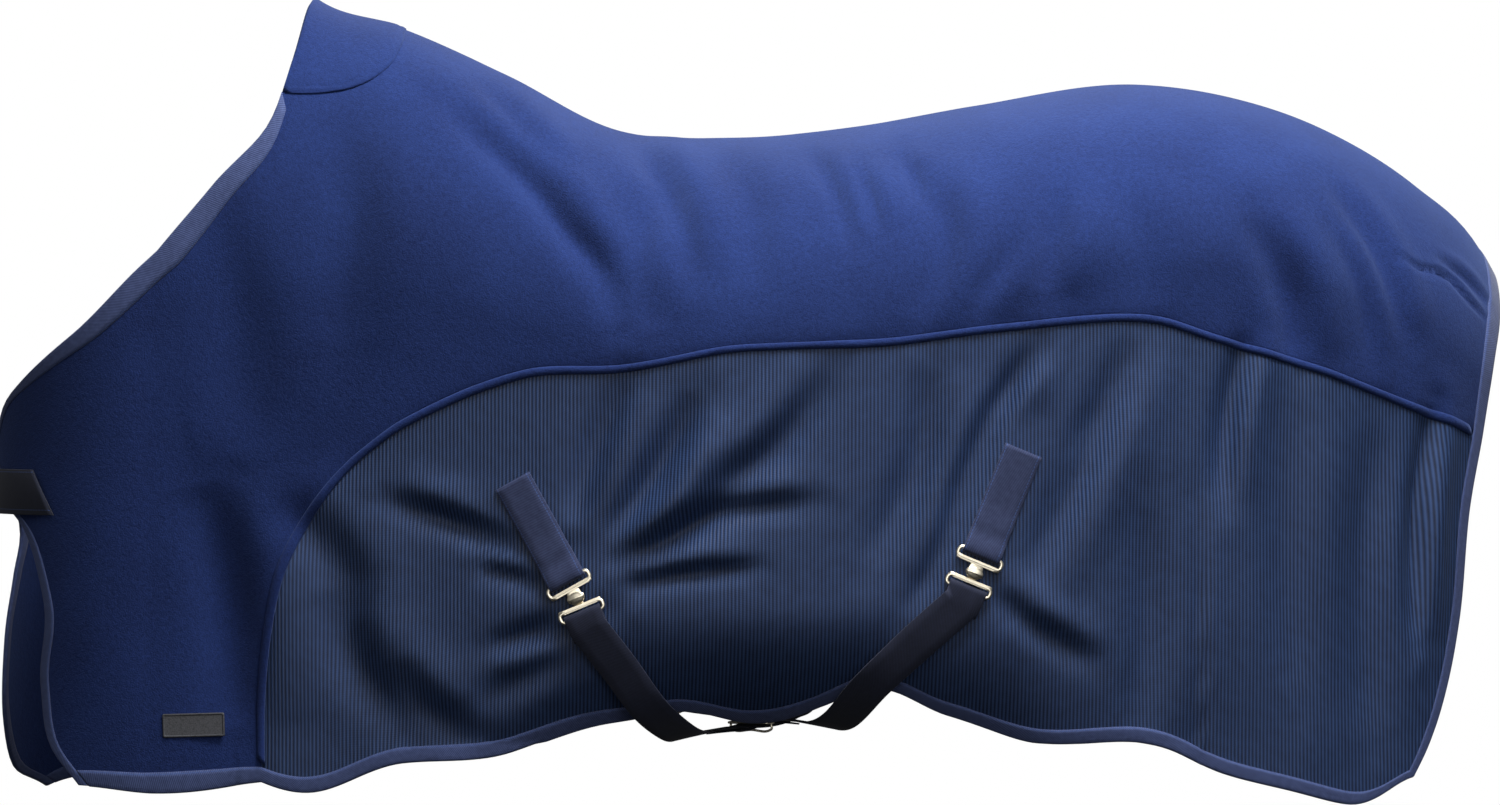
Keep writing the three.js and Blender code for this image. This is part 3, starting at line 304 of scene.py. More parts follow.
class Drape:
    """Folds and creases of the cloth on the horse, and the lines that hold it flat."""

    folds = (
        Fold(
            ((-365, 30), (-325, -5), (-265, -60), (-225, -115), (-185, -170), (-170, -230)), 17.1, 18.4
        ),
        Fold(((-330, 62), (-270, -5), (-215, -60)), 7.6, 14.7),
        Fold(((-150, 5), (-105, -75), (-85, -180)), 11.4, 18.4),
        Fold(((-40, -20), (-15, -90), (-20, -190)), 5.7, 20.2),
        Fold(((55, -15), (80, -70), (95, -140)), 8.5, 12),
        Fold(((108, -40), (118, -80), (125, -125)), 9.5, 10.1),
        Fold(((160, -20), (170, -50), (175, -90)), 7.6, 10.1),
        Fold(((335, -70), (325, -110), (305, -190)), 11.4, 18.4),
        Fold(((280, -110), (270, -140), (230, -205)), 7.6, 14.7),
        Fold(((400, -60), (420, -130), (415, -215)), 5.7, 23.9),
        Fold(((650, -60), (695, -130), (735, -245)), 9.5, 13.8),
        Fold(((645, -110), (680, -190), (690, -270)), 6.6, 11),
        Fold(((565, -100), (600, -170), (612, -260)), 6.6, 16.6),
        Fold(((722, -143), (745, -156), (795, -169), (815, -190), (842, -216)), 7.6, 3.2, 0.3),
        Fold(((780, -146), (815, -165), (850, -200)), 5.7, 5.5, 0.5),
        Fold(((-640, -60), (-600, -200), (-590, -380)), 5.7, 36.8),
        Fold(((-480, 20), (-470, -120), (-500, -250)), 5.7, 33.1),
        Fold(((-640, -400), (-612, -520), (-600, -690)), 16, 34),
        Fold(((545, -95), (585, -185), (600, -275)), 13, 20),
        Fold(((-120, -60), (-150, -150), (-125, -235)), 9, 22),
        Fold(((178, -30), (200, -120), (165, -225)), 10, 20),
        Fold(((-560, -420), (-480, -500), (-455, -560)), 8, 26),
        Fold(((-430, -425), (-335, -455), (-290, -470), (-215, -478)), 14.5, 14.9),
        Fold(((-330, -500), (-275, -512), (-205, -528)), 10.9, 10.6),
        Fold(((-175, -545), (-245, -568), (-320, -592)), 14.5, 13.9),
        Fold(((-180, -560), (-255, -610), (-330, -655)), 7.2, 17),
        Fold(((-190, -500), (-140, -478), (-60, -440), (55, -425)), 12.6, 13.9),
        Fold(((-165, -522), (-105, -508), (-10, -498)), 10.9, 10.6),
        Fold(((-150, -495), (-60, -420), (10, -360), (75, -275)), 13.3, 20.2),
        Fold(((-80, -300), (-130, -400), (-195, -490)), 16, 18.3),
        Fold(((-160, -280), (-200, -380), (-225, -460)), 10.6, 18.3),
        Fold(((-490, -520), (-465, -605), (-395, -700)), 13.3, 26.3),
        Fold(((-420, -600), (-390, -650), (-330, -700)), 9.2, 20.2),
        Fold(((300, -245), (250, -335), (220, -400), (195, -465)), 18.6, 14.2),
        Fold(((280, -330), (230, -420), (150, -560)), 13.3, 12.1),
        Fold(((180, -270), (170, -370), (110, -500)), 10.6, 22.2),
        Fold(((415, -235), (370, -335), (290, -520)), 13.3, 22.2),
        Fold(((245, -520), (290, -560), (370, -610)), 10.6, 14.2),
        Fold(((545, -225), (520, -330), (512, -430)), 16, 14.2),
        Fold(((600, -260), (590, -420), (600, -650)), 10.6, 30.4),
        Fold(((425, -420), (430, -560), (420, -690)), 10.6, 26.3),
        Fold(((768, -310), (750, -405), (740, -590)), 18.6, 13.2),
        Fold(((700, -330), (680, -480), (690, -700)), 10.6, 26.3),
    )
    ripple_mm = 0.75
    pleat_mm = 11
    pleat_x = 489
    soft_mm = 0.8  # how gently the ceiling and the floor take over
    # The tabs, plates and straps lie along these lines.
    held = (
        ((-300, -392), (-226, -513), (-195, -575), (-166, -611), (-132, -652), (-100, -700)),
        ((300, -362), (237, -483), (212, -545), (160, -585), (118, -622), (84, -684)),
    )

    def held_distance(self, x: Array, z: Array) -> Array:
        """Distance to the nearest tab or strap, seen from the side.

        Args:
            x: places along the rug, in mm.
            z: heights, in mm.

        Returns:
            Distances in mm.
        """
        p = np.stack([x, z], -1)[..., None, :]
        best = np.full(np.shape(x), 1e6)
        for line in self.held:
            dots = np.array(line, float)
            run = np.diff(dots, axis=0)
            t = np.clip(((p - dots[:-1]) * run).sum(-1) / (run**2).sum(-1), 0, 1)
            best = np.minimum(
                best, np.linalg.norm(p - (dots[:-1] + t[..., None] * run), axis=-1).min(-1)
            )
        return best

    def height(self, x: Array, z: Array, girth: Array) -> Array:
        """Height of the draped cloth over the smooth body, in mm.

        The folds and a low, slow ripple are added up, fade out at the spine, and are held between a
        ceiling and a floor that open with the distance from the straps. The overlapped pleat behind
        the hip is a step that grows downwards.

        Args:
            x: places along the rug, in mm.
            z: heights, in mm.
            girth: lengths down from the spine, in mm.

        Returns:
            Heights in mm.
        """
        total = np.zeros(np.shape(x))
        for fold in self.folds:
            total = total + fold.height(x, z)
        ripple = np.sin(x / 41 + 1.6 * np.sin(z / 130)) + 0.7 * np.sin(x / 27 - z / 160 + 2)
        total = total + self.ripple_mm * ripple * smooth(20, 260, girth)
        low = smooth(-560, -740, z)
        total = total + low * (2.6 * np.sin(x / 52 + 0.8) + 1.4 * np.sin(x / 23))
        pleat = smooth(self.pleat_x + 8, self.pleat_x, x) * smooth(-330, -560, z) * np.exp(
            -np.maximum(self.pleat_x - x, 0) / 55
        )
        total = total - self.pleat_mm * pleat
        total = total * smooth(0, 70, girth)
        away = self.held_distance(x, z)
        ceiling = 0.2 + 0.16 * np.maximum(away - 34, 0)
        floor = -2.2 - 0.22 * np.maximum(away - 26, 0)
        soft = self.soft_mm
        total = -soft * np.logaddexp(-total / soft, -ceiling / soft)
        return soft * np.logaddexp(total / soft, floor / soft)


BARREL = Barrel()
DRAPE = Drape()


def body_normal(flat: Array) -> Array:
    """Outward normals of the smooth body on the near side, from steps of half a millimetre.

    Args:
        flat: (..., 2) array of along and girth in mm.

    Returns:
        (..., 3) unit vectors.
    """
    step = 0.5
    along, girth = np.array([step, 0.0]), np.array([0.0, step])
    across = BARREL.point(flat + along) - BARREL.point(flat - along)
    down = BARREL.point(flat + girth) - BARREL.point(flat - girth)
    return unit(np.cross(down, across))


def mirrored(points: Array, side: Side) -> Array:
    """Near-side points or vectors as they are, or with Y turned round for the off side."""
    return points * np.array([1.0, 1.0 if side is Side.NEAR else -1.0, 1.0])


def cloth(flat: Array, side: Side, extra: Array | float = 0.0) -> Array:
    """Points of the draped cloth: the body's surface plus the drape's height along its normal.

    Args:
        flat: (..., 2) array of along and girth in mm.
        side: the side of the rug.
        extra: more height along the normal, in mm.

    Returns:
        (..., 3) points in mm.
    """
    smooth_point = BARREL.point(flat)
    height = DRAPE.height(smooth_point[..., 0], smooth_point[..., 2], flat[..., 1]) + extra
    return mirrored(smooth_point + body_normal(flat) * np.asarray(height)[..., None], side)


def cloth_frame(flat: Array, side: Side) -> tuple[Array, Array]:
    """Points and outward normals of the draped cloth.

    Args:
        flat: (..., 2) array of along and girth in mm.
        side: the side of the rug.

    Returns:
        Points in mm, and unit vectors.
    """
    step = 1.5
    along, girth = np.array([step, 0.0]), np.array([0.0, step])
    across = cloth(flat + along, side) - cloth(flat - along, side)
    down = cloth(flat + girth, side) - cloth(flat - girth, side)
    turn = 1.0 if side is Side.NEAR else -1.0
    return cloth(flat, side), unit(np.cross(down, across)) * turn


# ---- meshes ----------------------------------------------------------------------------------------
def mesh_object(name: str, points: Array, faces: list, uvs: Array, finish: bpy.types.Material) -> Piece:
    """Make an object from points in mm.

    Args:
        name: the piece's name.
        points: (P, 3) array in mm.
        faces: vertex indices of each face.
        uvs: one (u, v) in metres for each corner, in the faces' order.
        finish: the material.

    Returns:
        The object, at the origin, shaded smooth.
    """
    mesh = bpy.data.meshes.new(name)
    mesh.from_pydata((points * MM).tolist(), [], faces)
    layer = mesh.uv_layers.new(name="cloth")
    layer.data.foreach_set("uv", np.asarray(uvs, np.float32).ravel())
    mesh.polygons.foreach_set("use_smooth", np.ones(len(mesh.polygons), bool))
    mesh.materials.append(finish)
    mesh.update()
    made = bpy.data.objects.new(name, mesh)
    bpy.context.scene.collection.objects.link(made)
    return made


def sheet_object(
    name: str, grid: Array, flat: Array, finish: bpy.types.Material, thickness: float, outward: Array
) -> Piece:
    """Make a sheet from a grid, given its thickness by Solidify.

    Args:
        name: the piece's name.
        grid: (R, C, 3) points in mm.
        flat: (R, C, 2) developed cloth points in mm, which become the UV map.
        finish: the material.
        thickness: in mm, centred on the grid.
        outward: a vector that the middle face looks along, to settle which way is out.

    Returns:
        The object.
    """
    rows, columns = grid.shape[:2]
    index = np.arange(rows * columns).reshape(rows, columns)
    quads = np.stack(
        [index[:-1, :-1], index[1:, :-1], index[1:, 1:], index[:-1, 1:]], -1
    ).reshape(-1, 4)
    r, c = rows // 2, columns // 2
    facing = np.cross(grid[r, c] - grid[r - 1, c], grid[r, c] - grid[r, c - 1])
    if facing @ outward < 0:
        quads = quads[:, ::-1]
    uvs = flat.reshape(-1, 2)[quads.ravel()] * MM
    made = mesh_object(name, grid.reshape(-1, 3), quads.tolist(), uvs, finish)
    wall = made.modifiers.new("thickness", "SOLIDIFY")
    wall.thickness = thickness * MM
    wall.offset = 0
    wall.use_rim = True
    return made


def sweep_arrays(rings: Array, closed: bool) -> tuple[Array, list, Array]:
    """Faces and UVs of a profile carried along a path.

    Args:
        rings: (N, M, 3) points, each ring a closed loop.
        closed: whether the last ring meets the first one; otherwise both ends are capped.

    Returns:
        Points, faces and one UV for each corner, with the faces turned outwards by signed volume.
    """
    count, around = rings.shape[:2]
    steps = count if closed else count - 1
    i, j = np.meshgrid(np.arange(steps), np.arange(around), indexing="ij")
    up, right = (i + 1) % count, (j + 1) % around
    quads = np.stack(
        [i * around + j, up * around + j, up * around + right, i * around + right], -1
    ).reshape(-1, 4)
    middle = rings.mean(1)
    runs = np.linalg.norm(np.roll(middle, -1, 0) - middle, axis=1)[:steps]
    length = np.concatenate([[0], np.cumsum(runs)])
    sides = np.linalg.norm(np.roll(rings, -1, 1) - rings, axis=2).mean(0)
    girth = np.concatenate([[0], np.cumsum(sides)])
    corner_u = np.stack([length[i], length[i + 1], length[i + 1], length[i]], -1).reshape(-1, 4)
    corner_v = np.stack([girth[j], girth[j], girth[j + 1], girth[j + 1]], -1).reshape(-1, 4)
    points = rings.reshape(-1, 3)
    a, b, c, d = (points[quads[:, k]] for k in range(4))
    volume = (np.cross(a, b) * c).sum() + (np.cross(a, c) * d).sum()
    uvs = np.stack([corner_u, corner_v], -1)
    faces = quads
    if volume < 0:
        faces, uvs = quads[:, ::-1], uvs[:, ::-1]
    faces = faces.tolist()
    uvs = uvs.reshape(-1, 2)
    if not closed:
        first, last = list(range(around)), [(count - 1) * around + k for k in range(around)]
        faces += [first, last[::-1]] if volume >= 0 else [first[::-1], last]
        uvs = np.concatenate([uvs, np.zeros((2 * around, 2))])
    return points, faces, uvs * MM


def sweep_object(name: str, rings: list[Sweep], finish: bpy.types.Material) -> Piece:
    """Make one object from one or more sweeps.

    Args:
        name: the piece's name.
        rings: pairs of (N, M, 3) rings in mm and whether the sweep closes on itself.
        finish: the material.

    Returns:
        The object.
    """
    points, faces, uvs, base = [], [], [], 0
    for ring, closed in rings:
        some, more, corners = sweep_arrays(ring, closed)
        points.append(some)
        faces += [[k + base for k in face] for face in more]
        uvs.append(corners)
        base += len(some)
    return mesh_object(name, np.concatenate(points), faces, np.concatenate(uvs), finish)


def ribbon(path: Array, across: Array, width: float, thickness: float) -> Sweep:
    """Rings of a woven ribbon with softened edges along a path.

    Each ring is the rectangle width by thickness, with its corners cut, laid between the across
    direction, made square to the path, and the normal that the two give.

    Args:
        path: (N, 3) middle line.
        across: (N, 3) directions across the ribbon.
        width: of the ribbon, in mm.
        thickness: of the ribbon, in mm.

    Returns:
        The open sweep.
    """
    tangent = unit(np.gradient(path, axis=0))
    side = unit(across - (across * tangent).sum(-1, keepdims=True) * tangent)
    up = np.cross(tangent, side)
    w, t, cut = width / 2, thickness / 2, thickness * 0.3
    shape = np.array([
        (-w + cut, -t), (-w * 0.5, -t), (0, -t), (w * 0.5, -t), (w - cut, -t), (w, -t + cut),
        (w, t - cut),
        (w - cut, t), (w * 0.5, t), (0, t), (-w * 0.5, t), (-w + cut, t), (-w, t - cut), (-w, -t + cut),
    ])
    rings = path[:, None] + shape[None, :, :1] * side[:, None] + shape[None, :, 1:] * up[:, None]
    return rings, False


def tube(path: Array, wide: float, tall: float, out: Array, closed: bool) -> Sweep:
    """Rings of a rod with an oval section, an ellipse of cosines and sines.

    Args:
        path: (N, 3) middle line.
        wide: the section's size across both the path and out.
        tall: its size along out.
        out: a fixed direction.
        closed: whether the path meets itself.

    Returns:
        The sweep.
    """
    tangent = unit(
        np.roll(path, -1, 0) - np.roll(path, 1, 0)
    ) if closed else unit(np.gradient(path, axis=0))
    side = unit(np.cross(tangent, out))
    up = np.cross(side, tangent)
    turn = np.linspace(0, 2 * math.pi, 13)[:-1]
    shape = np.stack([np.cos(turn) * wide / 2, np.sin(turn) * tall / 2], -1)
    return path[:, None] + shape[None, :, :1] * side[:, None] + shape[None, :, 1:] * up[:, None], closed


def resampled(path: Array, count: int) -> Array:
    """Evenly spaced points of the smooth line through the path.

    Args:
        path: (N, D) points that the line passes.
        count: how many points to give.

    Returns:
        (count, D) points.
    """
    guide = Outline(path)
    return guide.at(np.linspace(0, guide.length, count))


def rounded_box(width: float, height: float, radius: float, count: int) -> Array:
    """Outline of a rounded rectangle in its own plane: four quarter circles joined by straight runs.

    Args:
        width: along the first axis.
        height: along the second axis.
        radius: of the corners.
        count: points on each corner.

    Returns:
        (4 * count, 2) points, anticlockwise.
    """
    turn = np.linspace(0, math.pi / 2, count)
    arc = np.stack([np.cos(turn), np.sin(turn)], -1) * radius
    parts = []
    for k, (sx, sy) in enumerate(((1, 1), (-1, 1), (-1, -1), (1, -1))):
        c, s = math.cos(k * math.pi / 2), math.sin(k * math.pi / 2)
        corner = (sx * (width / 2 - radius), sy * (height / 2 - radius))
        parts.append(arc @ np.array([[c, s], [-s, c]]) + corner)
    return np.concatenate(parts)


def slab(outline: Array, low: float, high: float, bevel: float, dome: float = 0.0) -> Array:
    """Rings of a closed plate, stacked from its underside to its top.

    Args:
        outline: (M, 2) outline about its own middle.
        low, high: heights of the two faces.
        bevel: how far the edges are rounded.
        dome: how far the middle of the top rises over its edge.

    Returns:
        (N, M, 3) rings; the first and last are nearly points, and are capped.
    """
    shrink = bevel / max(np.abs(outline).max(), 1e-6)
    steps = [(0.02, low), (1 - shrink, low), (1, low + bevel), (1, high - bevel), (1 - shrink, high)]
    steps += [(r, high + dome * (1 - r * r)) for r in (0.75, 0.5, 0.25, 0.02)]
    return np.stack([np.column_stack([outline * r, np.full(len(outline), z)]) for r, z in steps])


# ---- finishes --------------------------------------------------------------------------------------
def principled(name: str, **values: object) -> tuple[
    bpy.types.Material, bpy.types.NodeTree, bpy.types.Node
]:
    """Start a material with a Principled shader whose constant inputs are set on its own sockets.

    Args:
        name: the material's name.
        values: input values, with spaces in the names written as underscores.

    Returns:
        The material, its tree and its shader.
    """
    material = bpy.data.materials.new(name)
    material.use_nodes = True
    tree = material.node_tree
    shader = tree.nodes["Principled BSDF"]
    for key, value in values.items():
        shader.inputs[key.replace("_", " ")].default_value = value
    return material, tree, shader


def blended(
    tree: bpy.types.NodeTree, factor: bpy.types.NodeSocket, dark: str, light: str
) -> bpy.types.NodeSocket:
    """Mix two colours by a 0 to 1 factor."""
    mix = node(tree, "ShaderNodeMix", {0: factor, 6: linear(dark), 7: linear(light)}, data_type="RGBA")
    return mix.outputs[2]


@dataclass(frozen=True)
class Fleece:
    """Brushed polyester fleece: short matt pile in small clumps, soft and mottled to the eye."""

    name: str
    dark: str = "#121e49"
    light: str = "#263b76"
    clump_mm: float = 5.0  # coarser than the real 2 mm pile clumps, so that they show
    pile_mm: float = 1.6
    relief_mm: float = 1.1

    def material(self) -> bpy.types.Material:
        """Build the material.

        Returns:
            The material.
        """
        made, tree, shader = principled(
            self.name, Roughness=0.92, Sheen_Weight=0.35, Sheen_Roughness=0.55, Specular_IOR_Level=0.12
        )
        shader.inputs["Sheen Tint"].default_value = linear("#7f93c4")
        where = node(tree, "ShaderNodeTexCoord").outputs["Object"]
        clump = node(
            tree, "ShaderNodeTexNoise",
            {"Vector": where, "Scale": 1 / (self.clump_mm * MM), "Detail": 3.0}
        )
        pile = node(
            tree, "ShaderNodeTexNoise",
            {"Vector": where, "Scale": 1 / (self.pile_mm * MM), "Detail": 2.0}
        )
        patch = node(tree, "ShaderNodeTexNoise", {"Vector": where, "Scale": 9.0, "Detail": 4.0})
        both = node(
            tree, "ShaderNodeMath", {0: clump.outputs[0], 1: 0.7, 2: pile.outputs[0]},
            operation="MULTIPLY_ADD"
        )
        faint = node(tree, "ShaderNodeMath", {0: patch.outputs[0], 1: 0.35}, operation="MULTIPLY")
        tone = node(
            tree, "ShaderNodeMath", {0: both.outputs[0], 1: 0.6, 2: faint.outputs[0]},
            operation="MULTIPLY_ADD"
        )
        spread = node(tree, "ShaderNodeMapRange", {0: tone.outputs[0], 1: 0.4, 2: 0.98})
        tree.links.new(
            blended(tree, spread.outputs[0], self.dark, self.light), shader.inputs["Base Color"]
        )
        bump = node(
            tree, "ShaderNodeBump",
            {"Height": both.outputs[0], "Strength": 0.55, "Distance": self.relief_mm * MM}
        )
        tree.links.new(bump.outputs[0], shader.inputs["Normal"])
        return made


@dataclass(frozen=True)
class RibbedJersey:
    """Knitted polyester jersey with fine upright ribs: a satin gleam on each and dark between, painted
    into the base colour as highlight and shade.
    """

    name: str
    # painted shade for the grooves and a painted satin gleam for the rib tops
    painted_groove_shade: str = "#18213a"
    painted_rib_gleam: str = "#3a5382"
    pitch_mm: float = 4.2
    stitch_mm: float = 2.0  # knit loops down a rib, drawn coarser than the real 1 mm
    relief_mm: float = 0.7

    def material(self) -> bpy.types.Material:
        """Build the material.

        Returns:
            The material.
        """
        made, tree, shader = principled(
            self.name, Roughness=0.52, Sheen_Weight=0.15, Sheen_Roughness=0.4, Specular_IOR_Level=0.22
        )
        shader.inputs["Sheen Tint"].default_value = linear("#8aa0c8")
        where = node(tree, "ShaderNodeUVMap", uv_map="cloth").outputs[0]
        parts = node(tree, "ShaderNodeSeparateXYZ", {0: where})
        turn = 2 * math.pi / MM
        ribs = node(
            tree, "ShaderNodeMath", {0: parts.outputs[0], 1: turn / self.pitch_mm}, operation="MULTIPLY"
        )
        loops = node(
            tree, "ShaderNodeMath", {0: parts.outputs[1], 1: turn / self.stitch_mm},
            operation="MULTIPLY"
        )
        wave = node(tree, "ShaderNodeMath", {0: ribs.outputs[0]}, operation="SINE")
        knit = node(tree, "ShaderNodeMath", {0: loops.outputs[0]}, operation="SINE")
        rise = node(
            tree, "ShaderNodeMath", {0: wave.outputs[0], 1: 0.5, 2: 0.5}, operation="MULTIPLY_ADD"
        )
        height = node(
            tree, "ShaderNodeMath", {0: knit.outputs[0], 1: 0.1, 2: rise.outputs[0]},
            operation="MULTIPLY_ADD"
        )
        grain = node(tree, "ShaderNodeTexNoise", {"Vector": where, "Scale": 60.0, "Detail": 4.0})
        tone = node(
            tree, "ShaderNodeMath", {0: grain.outputs[0], 1: 0.5, 2: height.outputs[0]},
            operation="MULTIPLY_ADD"
        )
        # rib height and noise pick the colour: painted shade in the grooves, a painted gleam on the rib
        # tops, random tone from the noise
        spread = node(tree, "ShaderNodeMapRange", {0: tone.outputs[0], 1: 0.15, 2: 1.45})
        tree.links.new(
            blended(tree, spread.outputs[0], self.painted_groove_shade, self.painted_rib_gleam), shader.inputs["Base Color"]
        )
        bump = node(
            tree, "ShaderNodeBump",
            {"Height": height.outputs[0], "Strength": 0.6, "Distance": self.relief_mm * MM}
        )
        tree.links.new(bump.outputs[0], shader.inputs["Normal"])
        return made


@dataclass(frozen=True)
class Tape:
    """Woven polyester tape or webbing: a nearly matt diagonal twill, with stitching along it."""

    name: str
    dark: str
    light: str
    twill_mm: float = 2.4  # drawn coarser than the real 1 mm twill, so that it shows
    rows_mm: tuple = ()  # where the stitch rows run, across the ribbon's girth
    thread: str = "#3d5388"

    def material(self) -> bpy.types.Material:
        """Build the material.

        Returns:
            The material.
        """
        made, tree, shader = principled(
            self.name, Roughness=0.78, Sheen_Weight=0.15, Specular_IOR_Level=0.25
        )
        where = node(tree, "ShaderNodeUVMap", uv_map="cloth").outputs[0]
        parts = node(tree, "ShaderNodeSeparateXYZ", {0: where})
        along, across = parts.outputs[0], parts.outputs[1]
        slant = node(tree, "ShaderNodeMath", {0: along, 1: across}, operation="ADD")
        turns = node(
            tree, "ShaderNodeMath", {0: slant.outputs[0], 1: 2 * math.pi / (self.twill_mm * MM)},
            operation="MULTIPLY"
        )
        twill = node(tree, "ShaderNodeMath", {0: turns.outputs[0]}, operation="SINE")
        rise = node(
            tree, "ShaderNodeMath", {0: twill.outputs[0], 1: 0.35, 2: 0.5}, operation="MULTIPLY_ADD"
        )
        grain = node(tree, "ShaderNodeTexNoise", {"Vector": where, "Scale": 160.0, "Detail": 3.0})
        tone = node(
            tree, "ShaderNodeMath", {0: grain.outputs[0], 1: 0.7, 2: rise.outputs[0]},
            operation="MULTIPLY_ADD"
        )
        spread = node(tree, "ShaderNodeMapRange", {0: tone.outputs[0], 1: 0.35, 2: 1.35})
        colour = blended(tree, spread.outputs[0], self.dark, self.light)
        for row in self.rows_mm:
            off = node(tree, "ShaderNodeMath", {0: across, 1: row * MM}, operation="SUBTRACT")
            size = node(tree, "ShaderNodeMath", {0: off.outputs[0]}, operation="ABSOLUTE")
            line = node(
                tree, "ShaderNodeMath", {0: size.outputs[0], 1: 0.5 * MM}, operation="LESS_THAN"
            )
            beat = node(tree, "ShaderNodeMath", {0: along, 1: 1 / (4.0 * MM)}, operation="MULTIPLY")
            part = node(tree, "ShaderNodeMath", {0: beat.outputs[0]}, operation="FRACT")
            dash = node(tree, "ShaderNodeMath", {0: part.outputs[0], 1: 0.7}, operation="LESS_THAN")
            both = node(
                tree, "ShaderNodeMath", {0: line.outputs[0], 1: dash.outputs[0]}, operation="MULTIPLY"
            )
            mix = node(
                tree, "ShaderNodeMix", {0: both.outputs[0], 6: colour, 7: linear(self.thread)},
                data_type="RGBA"
            )
            colour = mix.outputs[2]
        tree.links.new(colour, shader.inputs["Base Color"])
        bump = node(
            tree, "ShaderNodeBump", {"Height": rise.outputs[0], "Strength": 0.4, "Distance": 0.35 * MM}
        )
        tree.links.new(bump.outputs[0], shader.inputs["Normal"])
        return made


@dataclass(frozen=True)
class PlatedSteel:
    """Pressed steel with a pale gold nickel plate: bright and smooth, with faint polishing marks."""

    name: str = "pale gold plated steel"
    tone: str = "#ece2cb"
    mark_mm: float = 3.0

    def material(self) -> bpy.types.Material:
        """Build the material.

        Returns:
            The material.
        """
        made, tree, shader = principled(self.name, Metallic=1.0)
        shader.inputs["Base Color"].default_value = linear(self.tone)
        where = node(tree, "ShaderNodeTexCoord").outputs["Object"]
        marks = node(
            tree, "ShaderNodeTexNoise",
            {"Vector": where, "Scale": 1 / (self.mark_mm * MM), "Detail": 4.0}
        )
        rough = node(
            tree, "ShaderNodeMapRange", {0: marks.outputs[0], 1: 0.3, 2: 0.7, 3: 0.26, 4: 0.36}
        )
        tree.links.new(rough.outputs[0], shader.inputs["Roughness"])
        bump = node(
            tree, "ShaderNodeBump",
            {"Height": marks.outputs[0], "Strength": 0.04, "Distance": 0.05 * MM}
        )
        tree.links.new(bump.outputs[0], shader.inputs["Normal"])
        return made


@dataclass(frozen=True)
class GrainedLeather:
    """Pressed leather-look badge: fine pebbled grain with a low gloss."""

    name: str = "badge leather"
    dark: str = "#26272c"
    light: str = "#505158"
    grain_mm: float = 1.5

    def material(self) -> bpy.types.Material:
        """Build the material.

        Returns:
            The material.
        """
        made, tree, shader = principled(self.name, Roughness=0.5)
        where = node(tree, "ShaderNodeTexCoord").outputs["Object"]
        grain = node(tree, "ShaderNodeTexVoronoi", {"Vector": where, "Scale": 1 / (self.grain_mm * MM)})
        tree.links.new(
            blended(tree, grain.outputs[0], self.light, self.dark), shader.inputs["Base Color"]
        )
        bump = node(
            tree, "ShaderNodeBump", {"Height": grain.outputs[0], "Strength": 0.3, "Distance": 0.3 * MM}
        )
        tree.links.new(bump.outputs[0], shader.inputs["Normal"])
        return made


FLEECE = Fleece("navy fleece").material()
JERSEY = RibbedJersey("ribbed jersey").material()
BINDING_TAPE = Tape("binding twill", "#28335c", "#566596", rows_mm=(2.0,)).material()
TAB_WEBBING = Tape("tab webbing", "#1b2344", "#3f4a70", rows_mm=(3.0, 41.0, 49.0, 87.0)).material()
STRAP_WEBBING = Tape("surcingle webbing", "#0e1327", "#222944").material()
CHEST_WEBBING = Tape("chest webbing", "#111526", "#262b40", rows_mm=(4.0, 48.0, 58.0, 102.0)).material()
STEEL = PlatedSteel().material()
LEATHER = GrainedLeather().material()


# ---- panels ----------------------------------------------------------------------------------------
GAP = 0.3
BINDING_ROWS = (8.0, 16.0, 16.45)
NECK_EDGE = (
    (-884, -372), (-877, -330), (-850, -290), (-791, -239), (-699, -150), (-627, -66), (-561, 10),
    (-540, 75), (-514, 159),
)
FLAP_EDGE = {
    Side.NEAR: (
        (-780, -750), (-811, -709), (-823, -640), (-821, -535), (-842, -466), (-873, -425),
        (-884, -372),
    ),
    Side.OFF: (
        (-840, -774), (-874, -745), (-883, -680), (-882, -600), (-874, -520), (-868, -460),
        (-877, -415),
        (-884, -372),
    ),
}
FRONT_HEM = {
    Side.NEAR: ((-780, -750), (-700, -757), (-571, -743)),
    Side.OFF: ((-840, -774), (-700, -763), (-571, -743)),
}
SEAM = (
    (-571, -743), (-571, -654), (-564, -580), (-545, -497), (-515, -438), (-469, -382), (-435, -354),
    (-381, -322), (-322, -296), (-255, -278), (-78, -259), (145, -244), (363, -219), (437, -220),
    (504, -240), (664, -289), (739, -317), (832, -355),
)
REAR_HEM = (
    (-571, -743), (-460, -736), (-315, -714), (-170, -676), (-100, -663), (-14, -676), (60, -657),
    (111, -636), (204, -666), (295, -695), (451, -703), (511, -730), (586, -750), (664, -769),
    (739, -740),
)
UPPER_REAR = ((889, -159), (868, -215), (852, -264), (832, -355))
LOWER_REAR = ((832, -355), (814, -435), (800, -560), (785, -630), (755, -710), (739, -740))


def stops(length: float, cells: int, bound_start: bool, bound_end: bool) -> Array:
    """Positions along a length: equal cells, with the binding's rows at the ends that carry one.

    Args:
        length: the whole length in mm.
        cells: how many equal cells.
        bound_start: whether the start carries a binding.
        bound_end: whether the end carries one.

    Returns:
        Rising positions in mm.
    """
    start = BINDING_ROWS[2] if bound_start else 0
    end = length - BINDING_ROWS[2] if bound_end else length
    head = [0, *BINDING_ROWS[:2]] if bound_start else []
    tail = [length - BINDING_ROWS[1], length - BINDING_ROWS[0], length] if bound_end else []
    return np.array([*head, *np.linspace(start, end, cells + 1), *tail])


def finer(values: Array, share: int) -> Array:
    """Split each step of a list into equal parts."""
    index = np.linspace(0, len(values) - 1, (len(values) - 1) * share + 1)
    return np.interp(index, np.arange(len(values)), values)


